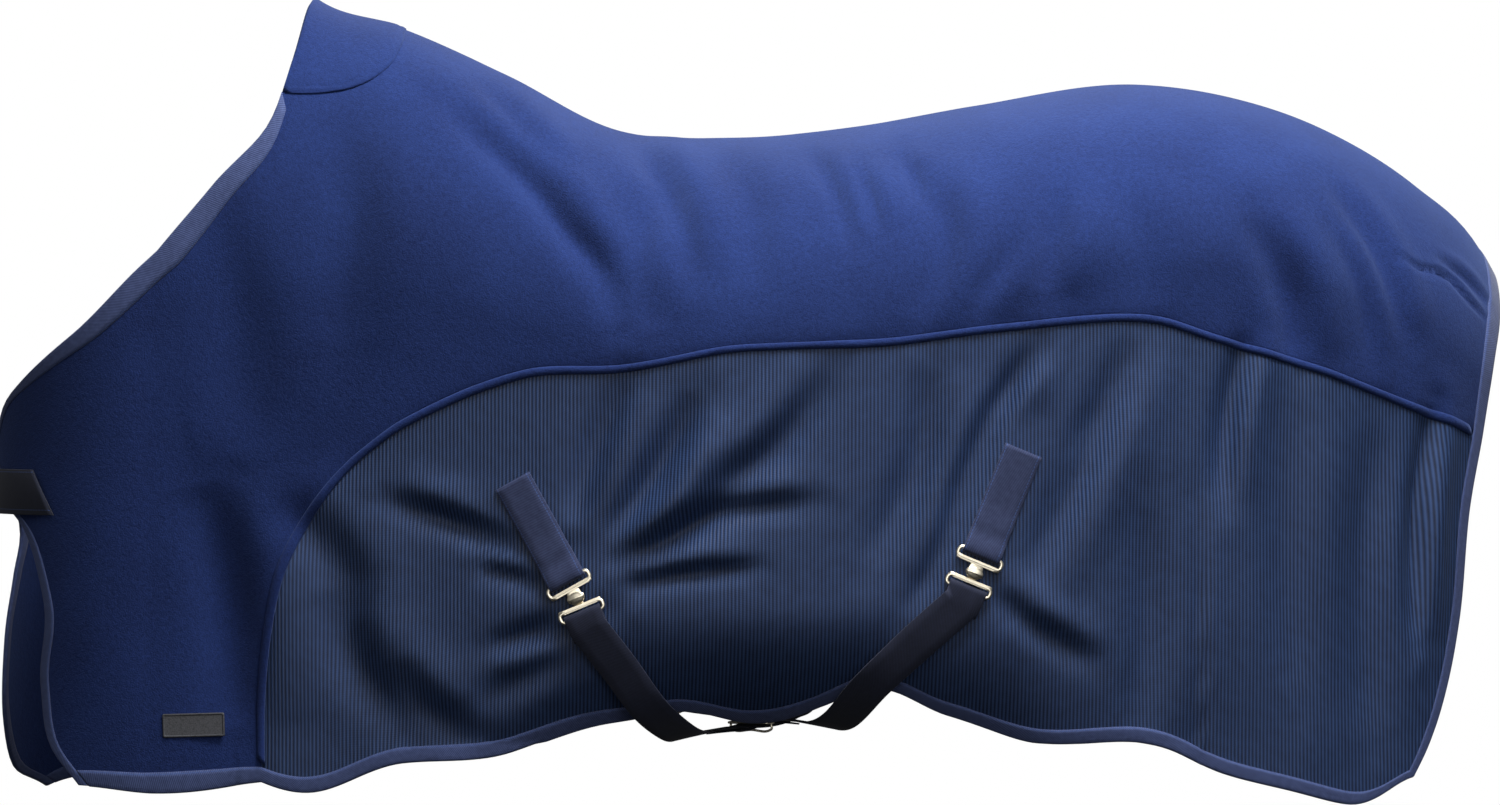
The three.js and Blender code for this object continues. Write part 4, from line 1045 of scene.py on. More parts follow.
def cut(flat: Array) -> tuple[Array, float]:
    """Size and area of flat cloth; the area is the sum of its cells' cross products.

    Args:
        flat: (R, C, 2) flat cloth in mm.

    Returns:
        Length and girth in metres, and the area in square metres.
    """
    size = np.ptp(flat.reshape(-1, 2), axis=0) * MM
    a, b = np.diff(flat, axis=0)[:, :-1], np.diff(flat, axis=1)[:-1]
    return size, float(np.abs(a[..., 0] * b[..., 1] - a[..., 1] * b[..., 0]).sum()) * MM**2


@dataclass
class SidePanels:
    """The fleece and jersey of one side, with its bindings and welt.

    The fleece is ruled between its outer edge and the seam, eased onto the front hem and the rear
    edge. The jersey is a four-sided patch blended between the seam, the hem and the rear edge.
    """

    side: Side
    fleece_mm: float = 3.0
    jersey_mm: float = 1.6
    tape_mm: float = 1.0
    flap_cells: int = 5
    neck_cells: int = 8
    back_cells: int = 20
    cross_cells: int = 10
    seam_corner: int = 10
    flap_on_seam: float = 252
    neck_on_seam: float = 300
    split: int = 7
    slot_mm: float = 0.2
    welt_half: float = 4.5
    welt_low: float = 1.0
    welt_rise: float = 3.2
    welt_foot: float = 0.6
    seam_dip: float = 1.3
    seam_reach: float = 7

    def __post_init__(self) -> None:
        """Develop the outlines and work out the flat cloth of both panels."""
        line = {
            "flap": FLAP_EDGE[self.side], "neck": NECK_EDGE, "front": FRONT_HEM[self.side],
            "seam": SEAM,
            "hem": REAR_HEM, "upper": UPPER_REAR, "lower": LOWER_REAR,
        }
        self.lines = {key: Outline(BARREL.develop(np.array(value))) for key, value in line.items()}
        self.word = "near" if self.side is Side.NEAR else "off"
        self.fleece_flat()
        self.jersey_flat()

    def fleece_flat(self) -> None:
        """Flat fleece: (columns, rows, 2) from the outer edge to the seam."""
        lines = self.lines
        withers = lines["neck"].points[-1]
        tail = lines["upper"].points[0]
        flap = finer(stops(lines["flap"].length, self.flap_cells, True, False), self.split)
        neck = finer(stops(lines["neck"].length, self.neck_cells, False, False), self.split)[1:]
        back = finer(stops(tail[0] - withers[0], self.back_cells, False, True), self.split)[1:]
        spine = np.stack([withers[0] + back, np.full(len(back), GAP / 2)], -1)
        outer = np.concatenate([lines["flap"].at(flap), lines["neck"].at(neck), spine])
        outer[:, 1] = np.maximum(outer[:, 1], GAP / 2)
        neck_end = self.flap_on_seam + self.neck_on_seam
        self.seam_stops = np.concatenate([
            stops(self.flap_on_seam, self.flap_cells, True, False),
            self.flap_on_seam + stops(self.neck_on_seam, self.neck_cells, False, False)[1:],
            neck_end + stops(lines["seam"].length - neck_end, self.back_cells, False, True)[1:],
        ])
        seam = lines["seam"].at(finer(self.seam_stops, self.split))
        length = np.linalg.norm(seam - outer, axis=1)[:, None]
        share = np.linspace(0, 1, self.cross_cells * self.split + 1)[None, :]
        head = np.array([0, 4, 8, 12.0])[None, :] + 0 * length
        reach = np.concatenate([head, BINDING_ROWS[2] + share * (length - BINDING_ROWS[2])], 1)
        t = (reach / length)[..., None]
        flat = outer[:, None] * (1 - t) + seam[:, None] * t
        position = np.linspace(0, 1, len(outer))[:, None, None]
        sag_front = lines["front"].at(
            t[..., 0] * lines["front"].length
        ) - (outer[0] * (1 - t) + seam[0] * t)
        sag_rear = lines["upper"].at(t[..., 0] * lines["upper"].length) - (
            outer[-1] * (1 - t) + seam[-1] * t
        )
        flat = flat + sag_front * (1 - position) ** 8 + sag_rear * position**8
        flat[..., 0, 1] = np.maximum(flat[..., 0, 1], GAP / 2)
        self.fleece = flat
        self.flap_columns = len(flap)
        self.neck_columns = len(neck)

    def jersey_flat(self) -> None:
        """Flat jersey: (columns, rows, 2) from the front run of the seam to the rear edge."""
        lines, corner = self.lines, self.seam_corner
        down = finer(self.seam_stops[: corner + 1], self.split)[::-1]
        across = finer(self.seam_stops[corner:], self.split)
        count = len(self.seam_stops) - corner
        hem = finer(stops(lines["hem"].length, count - 4, False, True), self.split)
        lower = finer(stops(lines["lower"].length, corner + 1 - 4, False, True), self.split)
        top, bottom = lines["seam"].at(across)[:, None], lines["hem"].at(hem)[:, None]
        left, right = lines["seam"].at(down)[None], lines["lower"].at(lower)[None]
        u = (hem / lines["hem"].length)[:, None, None]
        v = (1 - down / self.seam_stops[corner])[None, :, None]
        ruled = top * (1 - v) + bottom * v + left * (1 - u) + right * u
        corners = (top[0] * (1 - u) + top[-1] * u) * (1 - v) + (
            left[:, -1:] * (1 - u) + right[:, -1:] * u
        ) * v
        self.jersey = ruled - corners

    def panel(
        self, name: str, flat: Array, finish: bpy.types.Material, thickness: float, near_seam: Array
    ) -> Piece:
        """Hang one flat panel on the horse, drawn in a little where it is sewn to the other.

        Args:
            name: the panel's name without its side.
            flat: (R, C, 2) flat cloth in mm.
            finish: the material.
            thickness: in mm.
            near_seam: distance of each point from the sewn edge, in mm; the cloth dips by
                exp(-(distance / reach)^2) there.

        Returns:
            The panel.
        """
        dip = -self.seam_dip * np.exp(-((near_seam / self.seam_reach) ** 2))
        grid = cloth(flat, self.side, dip)
        outward = np.array([0.0, float(self.side.value), 0.0])
        made = sheet_object(f"{name}_{self.word}", grid, flat, finish, thickness, outward)
        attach(made, "root")
        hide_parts(f"{name}_{self.word}")
        return made

    def edge(self, line: Array, inner: Array, half: float) -> Array:
        """Rings of a tape folded round an edge.

        Args:
            line: (N, 2) flat points of the edge.
            inner: (N, 2) flat points 16 mm inside it.
            half: half the cloth's thickness.

        Returns:
            (N, M, 3) rings: out along one face, round the edge, back along the other, and back inside.
        """
        inward = unit(inner - line)
        slot, face = half + self.slot_mm, half + self.slot_mm + self.tape_mm
        reaches = np.array([16, 12, 8, 4, 0.5])
        base, normal = zip(*(cloth_frame(line + inward * r, self.side) for r in reaches))
        out = unit(base[-1] - base[1])
        faces = [b + n * (face - 0.5 * (r > 15)) for b, n, r in zip(base, normal, reaches)]
        backs = [b - n * (face - 0.5 * (r > 15)) for b, n, r in zip(base, normal, reaches)]
        turn = np.linspace(math.pi / 2, -math.pi / 2, 7)[1:-1]
        nose = [
            base[-1] + normal[-1] * (face * math.sin(a)) + out * (face * 0.8 * math.cos(a))
            for a in turn
        ]
        inside = [base[-1] - normal[-1] * slot, base[1] - normal[1] * slot, base[0] - normal[0] * slot]
        inside_top = [
            base[0] + normal[0] * slot, base[1] + normal[1] * slot, base[-1] + normal[-1] * slot
        ]
        return np.stack([*faces, *nose, *backs[::-1], *inside[::-1], *inside_top[::-1]], 1)

    def binding(self, name: str, line: Array, inner: Array) -> Piece:
        """Bind one edge with folded tape.

        Args:
            name: the binding's name without its side.
            line: (N, 2) flat points of the edge.
            inner: (N, 2) flat points inside it.

        Returns:
            The binding.
        """
        rings = self.edge(line, inner, self.fleece_mm / 2)
        made = sweep_object(f"{name}_{self.word}", [(rings, False)], BINDING_TAPE)
        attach(made, "root")
        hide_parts(f"{name}_{self.word}")
        return made

    def welt(self) -> Piece:
        """Piped welt over the seam: a low rounded rib, half an ellipse 9 mm wide.

        Returns:
            The welt.
        """
        s = finer(np.array([22.5, *self.seam_stops[4:-4], self.seam_stops[-4] - 6]), self.split)
        middle = self.lines["seam"].at(s)
        ahead = unit(self.lines["seam"].at(s + 1) - self.lines["seam"].at(s - 1))
        aside = np.stack([-ahead[:, 1], ahead[:, 0]], -1)
        angle = np.linspace(0, math.pi, 9)
        rings = []
        for a in angle:
            base, normal = cloth_frame(middle + aside * self.welt_half * math.cos(a), self.side)
            rings.append(base + normal * (self.welt_low + self.welt_rise * math.sin(a)))
        base, normal = cloth_frame(middle, self.side)
        rings.append(base + normal * self.welt_foot)
        made = sweep_object(f"seam_welt_{self.word}", [(np.stack(rings, 1), False)], FLEECE)
        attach(made, "root")
        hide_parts(f"seam_welt_{self.word}")
        return made

    def build(self) -> list[Piece]:
        """Returns:
            The panels, the bindings and the welt.
        """
        fleece, jersey = self.fleece, self.jersey
        to_seam = np.linalg.norm(fleece - fleece[:, -1:], axis=-1)
        down = np.linalg.norm(jersey - jersey[:, :1], axis=-1)
        back = np.linalg.norm(jersey - jersey[:1], axis=-1)
        fleece_panel = self.panel("fleece_panel", fleece, FLEECE, self.fleece_mm, to_seam)
        jersey_panel = self.panel(
            "jersey_panel", jersey, JERSEY, self.jersey_mm, np.minimum(down, back)
        )

        inner_row = 4
        neck_stop = self.flap_columns + self.neck_columns - 2 * self.split
        flap = self.binding(
            "flap_binding", fleece[: self.flap_columns, 0], fleece[: self.flap_columns, inner_row]
        )
        flap_to = self.flap_columns - 1
        neck = self.binding(
            "neck_binding", fleece[flap_to:neck_stop, 0], fleece[flap_to:neck_stop, inner_row]
        )
        columns = 2 * self.split
        hem_line = np.concatenate([fleece[0, inner_row:], jersey[1:, -1]])
        hem_inner = np.concatenate([fleece[columns, inner_row:], jersey[1:, -1 - columns]])
        hem = self.binding("hem_binding", hem_line, hem_inner)
        rear_line = np.concatenate([fleece[-1, :], jersey[-1, 1:]])
        rear_inner = np.concatenate([fleece[-1 - columns, :], jersey[-1 - columns, 1:]])
        rear = self.binding("tail_binding", rear_line, rear_inner)
        welt = self.welt()
        return [fleece_panel, jersey_panel, flap, neck, hem, rear, welt]


# ---- pieces on the panels --------------------------------------------------------------------------
@dataclass
class WithersPatch:
    """Fleece saddle sewn over the withers, from the neck edge to a curved lower seam."""

    thickness_mm: float = 3.0
    lift_mm: float = 3.6
    roll_mm: float = 1.6
    stitch_mm: float = 1.0
    stitch_in: float = 8
    edge: tuple = (
        (-543, 41), (-520, 40), (-495, 42), (-472, 46), (-447, 57), (-428, 73), (-416, 94),
        (-409.5, 124),
    )

    def build(self) -> Piece:
        """Make the patch: lines across from the neck edge to the seam, over the spine and down again.

        Returns:
            The patch.
        """
        neck = Outline(BARREL.develop(np.array(NECK_EDGE[-4:])))
        rear = Outline(BARREL.develop(np.array(self.edge)))
        t = np.linspace(0, 1, 34)
        front_flat = neck.at(neck.length * (0.41 + 0.59 * t))
        rear_flat = rear.at(rear.length * t)
        rear_flat[:, 1] = np.where(t > 0.999, 0, rear_flat[:, 1])
        front_flat[:, 1] = np.where(t > 0.999, 0, np.maximum(front_flat[:, 1], 0))
        share = np.linspace(0, 1, 30)[:, None, None]
        flat = front_flat[None] * (1 - share) + rear_flat[None] * share
        gap = np.minimum(
            np.linalg.norm(flat - rear_flat[None], axis=-1), np.linalg.norm(flat - flat[:, :1], axis=-1)
        )
        rolled = -self.roll_mm * np.exp(-((gap / 3.5) ** 2))
        rolled = rolled - self.stitch_mm * np.exp(-(((gap - self.stitch_in) / 1.8) ** 2))
        height = self.lift_mm + rolled
        near, off = cloth(flat, Side.NEAR, height), cloth(flat, Side.OFF, height)
        grid = np.concatenate([near, off[:, -2::-1]], 1)
        down = flat * np.array([1, -1])
        uv = np.concatenate([flat, down[:, -2::-1]], 1)
        outward = np.array([0.0, 0.0, 1.0])
        made = sheet_object("withers_patch", grid, uv, FLEECE, self.thickness_mm, outward)
        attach(made, "root")
        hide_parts("withers_patch_near", "withers_patch_off")
        return made


@dataclass
class SpineTape:
    """Twill tape that backs the spine seam, on the inside."""

    start_mm: float = -445
    end_mm: float = 868
    width_mm: float = 18
    depth_mm: float = 2.6

    def build(self) -> Piece:
        """Carry the tape's section along the spine, just under the cloth.

        Returns:
            The tape.
        """
        x = np.linspace(self.start_mm, self.end_mm, 160)
        flat = np.stack([x, np.zeros_like(x)], -1)
        path, normal = cloth_frame(flat, Side.NEAR)
        normal[:, 1] = 0
        path = path - unit(normal) * self.depth_mm
        across = np.tile([0.0, 1.0, 0.0], (len(x), 1))
        made = sweep_object("spine_seam_tape", [ribbon(path, across, self.width_mm, 1.0)], BINDING_TAPE)
        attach(made, "root")
        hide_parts("spine_tape")
        return made


def surface_axes(drawn: tuple, turn: float, side: Side) -> Axes:
    """A frame on the smooth cloth.

    Args:
        drawn: (x, z) of its middle, seen from the side.
        turn: how far its downward direction leans towards the tail, in radians.
        side: the side of the rug.

    Returns:
        The middle point, and a 3 by 3 array whose rows are across, down and out.
    """
    flat = BARREL.develop(np.array(drawn, float))
    point, normal = mirrored(BARREL.point(flat), side), mirrored(body_normal(flat), side)
    down = np.array([math.sin(turn), 0, -math.cos(turn)])
    down = unit(down - (down @ normal) * normal)
    return point, np.stack([unit(np.cross(down, normal)), down, normal])


def placed(points: Array, frame_at: Axes) -> Array:
    """Points of a surface frame in the rug's own frame."""
    return frame_at[0] + points @ frame_at[1]


@dataclass
class Badge:
    """Blank pressed badge with a raised rim."""

    centre: tuple = (-648, -680)
    turn: float = 0.03
    width_mm: float = 71
    height_mm: float = 27
    low_mm: float = 2.4
    high_mm: float = 4.3
    rim_mm: float = 2.4
    press_mm: float = 0.5

    def build(self) -> Piece:
        """Stack rounded outlines: the side wall, the rim, and the field that is pressed in.

        Returns:
            The badge.
        """
        outline = rounded_box(self.width_mm, self.height_mm, 2.0, 5)
        inner = rounded_box(self.width_mm - 2 * self.rim_mm, self.height_mm - 2 * self.rim_mm, 1.2, 5)
        sunk = self.high_mm - self.press_mm
        wall = (
            (0.02, self.low_mm), (0.99, self.low_mm), (1, self.low_mm + 0.4), (1, sunk),
            (0.988, self.high_mm)
        )
        field = ((1.01, self.high_mm), (1, sunk), (0.98, sunk), (0.94, sunk), (0.02, sunk))
        rings = np.stack([
            np.column_stack([shape * share, np.full(len(shape), z)])
            for shape, steps in ((outline, wall), (inner, field)) for share, z in steps
        ])
        rings = placed(rings, surface_axes(self.centre, self.turn, Side.NEAR))
        made = sweep_object("blank_badge", [(rings, False)], LEATHER)
        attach(made, "root")
        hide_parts("badge")
        return made


@dataclass
class ChestClosure:
    """Webbing strap round the chest, sewn on the off side, with pads at its near end."""

    height_mm: float = -416
    width_mm: float = 52
    thickness_mm: float = 2.5
    low_mm: float = 5.5
    near_angle: float = 40
    off_angle: float = 138
    slant: float = 5

    def build(self) -> list[Piece]:
        """Carry the strap's section round the chest's ellipse; its near end is cut on a slant.

        Returns:
            The strap, alone in a list.
        """
        share = np.linspace(0, 1, 60)
        section = np.array([
            (-0.5, 0.15), (-0.485, 0), (0, 0), (0.485, 0), (0.5, 0.15), (0.5, 0.85), (0.485, 1), (0, 1),
            (-0.485, 1), (-0.5, 0.85),
        ])
        middle = self.near_angle + (self.off_angle - self.near_angle) * share
        lean = self.slant * (1 - share) ** 6
        angle = np.radians(middle[:, None] + 2 * section[None, :, 0] * lean[:, None])
        length, half = BARREL.chest_length, BARREL.chest_half
        normal = unit(np.stack([-np.sin(angle) / length, -np.cos(angle) / half, 0 * angle], -1))
        up = self.height_mm + section[None, :, 0] * self.width_mm + 0 * angle
        base = np.stack([BARREL.chest_x - length * np.sin(angle), -half * np.cos(angle), up], -1)
        rings = base + normal * (self.low_mm + section[None, :, 1:] * self.thickness_mm)
        made = sweep_object("chest_strap_webbing", [(rings, False)], CHEST_WEBBING)
        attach(made, "chest_strap")
        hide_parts("chest_strap")
        for name in ("chest_hook_pad", "chest_loop_pad"):
            dress(name, CHEST_WEBBING)
        return [made]


def dress(name: str, finish: bpy.types.Material) -> None:
    """Give a frame node another finish.

    Args:
        name: the node's name.
        finish: the material.
    """
    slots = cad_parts[name].data.materials
    slots.clear()
    slots.append(finish)


# ---- surcingles ------------------------------------------------------------------------------------
@dataclass
class Surcingle:
    """One cross surcingle (mm): tab, slot plate, T-hook, two straps, slider and end patch."""

    name: str
    bar: tuple
    turn: float
    hook_turn: float
    tab_length: float
    side: tuple
    under: tuple
    centre: tuple
    far_patch: tuple
    slider_at: float
    opposite: "Surcingle | None" = None

    webbing: float = 44
    thick: float = 2
    play: float = 1.8
    pitch: float = 10.5
    slot_at: float = 22.5
    hook_pitch: float = 44.0
    back_layer: float = 2.4
    loop_radius: float = 3.5
    strap_lift: float = 6
    hem_lift: float = 14
    end_lift: float = 2.4
    splice_y: float = -60
    splice_lap: float = 28
    splice_rise: float = 26
    ring_wide: float = 4.6
    ring_tall: float = 3.2
    slider_rod: float = 3
    slider_room: float = 1.9
    slider_side: float = 3.3

    @property
    def bar_height(self) -> float:
        """Height of the plate's round bar over the cloth."""
        return self.back_layer + self.loop_radius

    def loop(self, at: float, way: int, play: float) -> Array:
        """Half circle of webbing round a bar.

        Args:
            at: how far down the bar lies.
            way: 1 to turn below the bar, -1 to turn above it.
            play: room between the webbing and the bar.

        Returns:
            (13, 3) points, from the upper layer to the lower.
        """
        turn = np.linspace(0, math.pi, 13)
        reach = self.loop_radius + play
        return np.stack([
            0 * turn, at + way * reach * np.sin(turn),
            self.bar_height + self.loop_radius * np.cos(turn),
        ], -1)

    def bulge(self, y: Array, axes: Axes) -> Array:
        """How far the cloth stands out of the frame's own plane, down its middle line.

        Args:
            y: distances down from the bar, in mm.
            axes: the surface frame.

        Returns:
            Heights in mm.
        """
        y = np.atleast_1d(np.asarray(y, float))
        line = placed(np.stack([0 * y, y, 0 * y], -1), axes)
        flat = BARREL.develop(line[:, [0, 2]])
        out = axes[1][2]
        return ((BARREL.point(flat) - axes[0]) @ out) / np.maximum(body_normal(flat) @ out, 0.5)

    def tab(self, axes: Axes) -> Piece:
        """The tab: its front layer runs down over the bar, turns under it and runs back beneath.

        Args:
            axes: the surface frame at the bar.

        Returns:
            The tab.
        """
        y = np.linspace(-self.tab_length, -4, 26)
        climb = smooth(-60, -30, y) * (self.thick + GAP)
        crown = smooth(-26, -2, y) * (
            self.bar_height + self.loop_radius - self.back_layer - self.thick - GAP
        )
        front = np.stack([0 * y, y, self.back_layer + climb + crown + self.bulge(y, axes)], -1)
        back_y = np.linspace(-3, -34, 8)
        back = np.stack([0 * back_y, back_y, self.back_layer + self.bulge(back_y, axes)], -1)
        path = np.concatenate([front, self.loop(0, 1, 0)[1:], back])
        across = np.tile(axes[1][0], (len(path), 1))
        made = sweep_object(
            f"{self.name}_tab_webbing", [ribbon(placed(path, axes), across, self.webbing, self.thick)],
            TAB_WEBBING
        )
        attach(made, "root")
        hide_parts(f"{self.name}_tab")
        return made

    def ring(self, round_at: float, flat_at: float) -> Sweep:
        """Wire ring that the webbing loops through: a rounded rectangle with an oval section.

        Args:
            round_at: where its round bar lies.
            flat_at: where its flat bar lies.

        Returns:
            The closed sweep.
        """
        outline = rounded_box(self.webbing + 7.6, abs(flat_at - round_at), 4.2, 6)
        path = np.column_stack(
            [outline[:, 0], outline[:, 1] + (round_at + flat_at) / 2, 0 * outline[:, 0]]
        )
        return tube(path, self.ring_wide, self.ring_tall, np.array([0.0, 0.0, 1.0]), True)

    def oval(self, c: Array, s: Array, width: float, length: float, power: float) -> Array:
        """Outline round the slot's middle: |x|^p + |y|^p is the same all the way round.

        Args:
            c, s: cosines and sines of the turn.
            width: across the plate.
            length: down the plate.
            power: 2 for an ellipse, more for squarer corners.

        Returns:
            (M, 2) points.
        """
        x = np.sign(c) * np.abs(c) ** (2 / power) * width / 2
        return np.stack([x, self.slot_at + np.sign(s) * np.abs(s) ** (2 / power) * length / 2], -1)

    def flat_bar(self, at: float) -> Sweep:
        """Pressed flat bar across the plate or the hook.

        Args:
            at: how far down from the round bar it lies, in mm.

        Returns:
            The closed plate.
        """
        bar = slab(rounded_box(self.webbing + 8, 5.4, 2.2, 4), -1.4, 1.4, 0.5)
        bar[..., 1] += at
        return bar, False

    def plate_rings(self) -> list[Sweep]:
        """Slot plate: the ring, and a tongue whose section is carried round its slot.

        Returns:
            The sweeps, about the round bar.
        """
        end = self.pitch + 19
        angle = np.linspace(0, 2 * math.pi, 49)[:-1]
        c, s = np.cos(angle), np.sin(angle)
        hole = self.oval(c, s, 5.2, 8, 5)
        rim = self.oval(c, s, 17, 13.5, 3)
        below, above = self.slot_at - self.pitch, end - self.slot_at
        rise = rim[:, 1] - self.slot_at
        rim[:, 1] = np.where(
            s < 0, self.slot_at + rise * below / 6.75, self.slot_at + rise * above / 6.75
        )
        under = ((0.0, -0.95), (0.12, -1.25), (0.9, -1.25), (1.0, -0.9))
        section = under + tuple((t, -z) for t, z in under[::-1])
        parts = [np.column_stack([hole * (1 - t) + rim * t, np.full(len(hole), z)]) for t, z in section]
        return [self.ring(0, self.pitch), self.flat_bar(self.pitch + 0.4), (np.stack(parts, 1), True)]

    def hook_rings(self) -> list[Sweep]:
        """T-hook: a domed oval head with a ridge, its post, the neck under the tongue, and the ring.

        Returns:
            The sweeps, about the plate's round bar.
        """
        flat_at = self.hook_pitch - self.pitch
        angle = np.linspace(0, 2 * math.pi, 33)[:-1]
        oval = np.stack([np.cos(angle) * 10.5, np.sin(angle) * 6.5], -1)
        head = slab(oval, 1.8, 3.4, 0.7, 1.5)
        head[..., 2] += 0.5 * np.exp(-((head[..., 1] / 1.1) ** 2)) * (head[..., 2] > 3.3)
        head[..., 1] += self.slot_at
        post = slab(rounded_box(3.2, 6, 1.2, 4), -3.4, 2.2, 0.2)
        post[..., 1] += self.slot_at
        start = self.slot_at - 3.1
        y = np.array([start, start + 4, start + 10, flat_at - 3, flat_at])
        path = np.stack([0 * y, y, np.array([-2.9, -2.9, -2.7, -1.2, -0.4])], -1)
        neck = ribbon(resampled(path, 14), np.tile([1.0, 0, 0], (14, 1)), 11.5, 2.2)
        bar = self.flat_bar(flat_at - 0.4)
        return [(head, False), (post, False), neck, bar, self.ring(self.hook_pitch, flat_at)]

    def metal(self, axes: Axes, hook_axes: Axes) -> list[Piece]:
        """Make the plate and the hook, each on its own body.

        Args:
            axes: the surface frame of the plate.
            hook_axes: the frame of the hook.

        Returns:
            The plate and the hook.
        """
        raised = np.array([0.0, 0.0, self.bar_height])
        made = []
        for node_name, body, rings, at in (
            (f"{self.name}_slot_plate", f"{self.name}_plate", self.plate_rings(), axes),
            (f"{self.name}_t_hook", f"{self.name}_hook", self.hook_rings(), hook_axes),
        ):
            piece = sweep_object(
                f"{node_name}_metal", [(placed(r + raised, at), c) for r, c in rings], STEEL
            )
            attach(piece, body)
            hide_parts(node_name)
            made.append(piece)
        return made

    def on_cloth(self, drawn: tuple, side: Side, height: float) -> Array:
        """A point at a height over the smooth cloth."""
        flat = BARREL.develop(np.array(drawn, float))
        return mirrored(BARREL.point(flat) + body_normal(flat) * height, side)

    def across(self, path: Array) -> Array:
        """Across directions: flat on the cloth on the flank, square to the belly's axis under it.

        Args:
            path: (N, 3) middle line in mm.

        Returns:
            (N, 3) unit vectors.
        """
        tangent = np.gradient(path, axis=0)
        y, z = path[:, 1], path[:, 2]
        out = unit(np.stack([0 * y, y, z + 430], -1))
        normal = body_normal(BARREL.develop(np.stack([path[:, 0], np.maximum(z, -630)], -1)))
        normal[:, 1] *= np.where(y > 0, -1, 1)
        share = smooth(-690, -630, z)[:, None]
        return unit(np.cross(tangent, out * (1 - share) + normal * share))

    def straps(self, hook_axes: Axes) -> list[Piece]:
        """Near strap, belly strap, slider and end patch, along one smooth line round the belly.

        Args:
            hook_axes: the frame of the hook.

        Returns:
            The four pieces.
        """
        start = placed(self.loop(self.hook_pitch, -1, self.play)[::-1], hook_axes)
        tail_y = np.linspace(26, 3, 6)
        tail = placed(
            np.stack([0 * tail_y, self.hook_pitch + tail_y, self.back_layer + 0 * tail_y], -1),
            hook_axes
        )
        leave_height = self.bar_height + self.loop_radius - 0.6
        leave = placed(np.array([0, self.hook_pitch + 14, leave_height]), hook_axes)
        other = self.opposite
        fall = self.centre[2] - other.centre[2]
        rise = (self.strap_lift, self.hem_lift)
        near = [leave, *(self.on_cloth(p, Side.NEAR, h) for p, h in zip(self.side, rise))]
        near += [np.array(p, float) for p in self.under] + [np.array(self.centre, float)]
        far = [np.array([x, -y, z], float) for x, y, z in other.under][::-1]
        far[0][2] += fall
        far[1][2] += fall / 2
        lifts = (
            self.hem_lift, self.strap_lift, (2 * self.strap_lift + self.end_lift) / 3, self.end_lift
        )
        climb = [other.far_patch, other.bar, *other.side][::-1]
        far += [self.on_cloth(p, Side.OFF, h) for p, h in zip(climb, lifts)]
        dense = resampled(np.array(near + far), 240)
        across = self.across(dense)
        near_part = dense[dense[:, 1] <= self.splice_y]
        near_path = np.concatenate([tail, start, near_part])
        bar_across = -hook_axes[1][0]
        blend = np.clip(np.arange(len(near_part)) / 24, 0, 1)[:, None]
        own = across[: len(near_part)]
        own = own * np.sign((own @ bar_across)[0])
        near_across = np.concatenate([
            np.tile(bar_across, (len(tail) + len(start), 1)),
            unit(bar_across * (1 - blend) + own * blend),
        ])
        far_from = int(np.argmax(dense[:, 1] > self.splice_y - self.splice_lap))
        far_part = dense[far_from:].copy()
        layer = self.thick + 3 * GAP
        far_part[:, 2] -= layer * (
            1 - smooth(self.splice_y, self.splice_y + self.splice_rise, far_part[:, 1])
        )
        far_across = across[far_from:]
        strap = sweep_object(
            f"{self.name}_strap_webbing", [ribbon(near_path, near_across, self.webbing, self.thick)],
            STRAP_WEBBING
        )
        belly = sweep_object(
            f"{self.name}_belly_webbing", [ribbon(far_part, far_across, self.webbing, self.thick)],
            STRAP_WEBBING
        )
        at = int(np.argmin(np.abs(far_part[:, 1] - self.slider_at)))
        along = unit(far_part[at + 1] - far_part[at - 1])
        side = unit(far_across[at] - (far_across[at] @ along) * along)
        slider = self.slider((far_part[at], np.stack([side, along, np.cross(side, along)])))
        axes = surface_axes(other.far_patch, other.turn, Side.OFF)
        height = self.end_lift + self.thick / 2 + 2
        patch = slab(rounded_box(60, 60, 2, 4), height, height + self.thick, 0.5)
        patch = sweep_object(
            f"{other.name}_off_patch_webbing", [(placed(patch, axes), False)], STRAP_WEBBING
        )
        for piece, body, node_name in (
            (strap, f"{self.name}_strap", f"{self.name}_strap"),
            (belly, "root", f"{self.name}_belly_strap"),
            (slider, f"{self.name}_slider", f"{self.name}_slider"),
            (patch, "root", f"{other.name}_off_patch"),
        ):
            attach(piece, body)
            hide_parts(node_name)
        return [strap, belly, slider, patch]

    def slider(self, axes: Axes) -> Piece:
        """Slide adjuster: a wire frame below the webbing and a bar over it, with uprights at its sides.

        Args:
            axes: a frame in the webbing: across, along and out.

        Returns:
            The slider.
        """
        low = -self.thick / 2 - self.slider_room - self.slider_rod / 2
        outline = rounded_box(self.webbing + 2 * self.slider_side, 21, 3, 5)
        path = np.column_stack([outline, np.full(len(outline), low)])
        frame_ring = tube(path, self.slider_rod, self.slider_rod, np.array([0.0, 0.0, 1.0]), True)
        reach = self.webbing / 2 + self.slider_side
        arch = np.array([
            (-reach, 0, low), (-reach, 0, low / 2), (-reach, 0, -low * 0.7), (-reach + 2, 0, -low),
            (0, 0, -low),
            (reach - 2, 0, -low), (reach, 0, -low * 0.7), (reach, 0, low / 2), (reach, 0, low),
        ])
        bar = tube(
            resampled(arch, 60), self.slider_rod, self.slider_rod, np.array([0.0, 1.0, 0.0]), False
        )
        return sweep_object(
            f"{self.name}_slider_metal", [(placed(r, axes), c) for r, c in (frame_ring, bar)], STEEL
        )

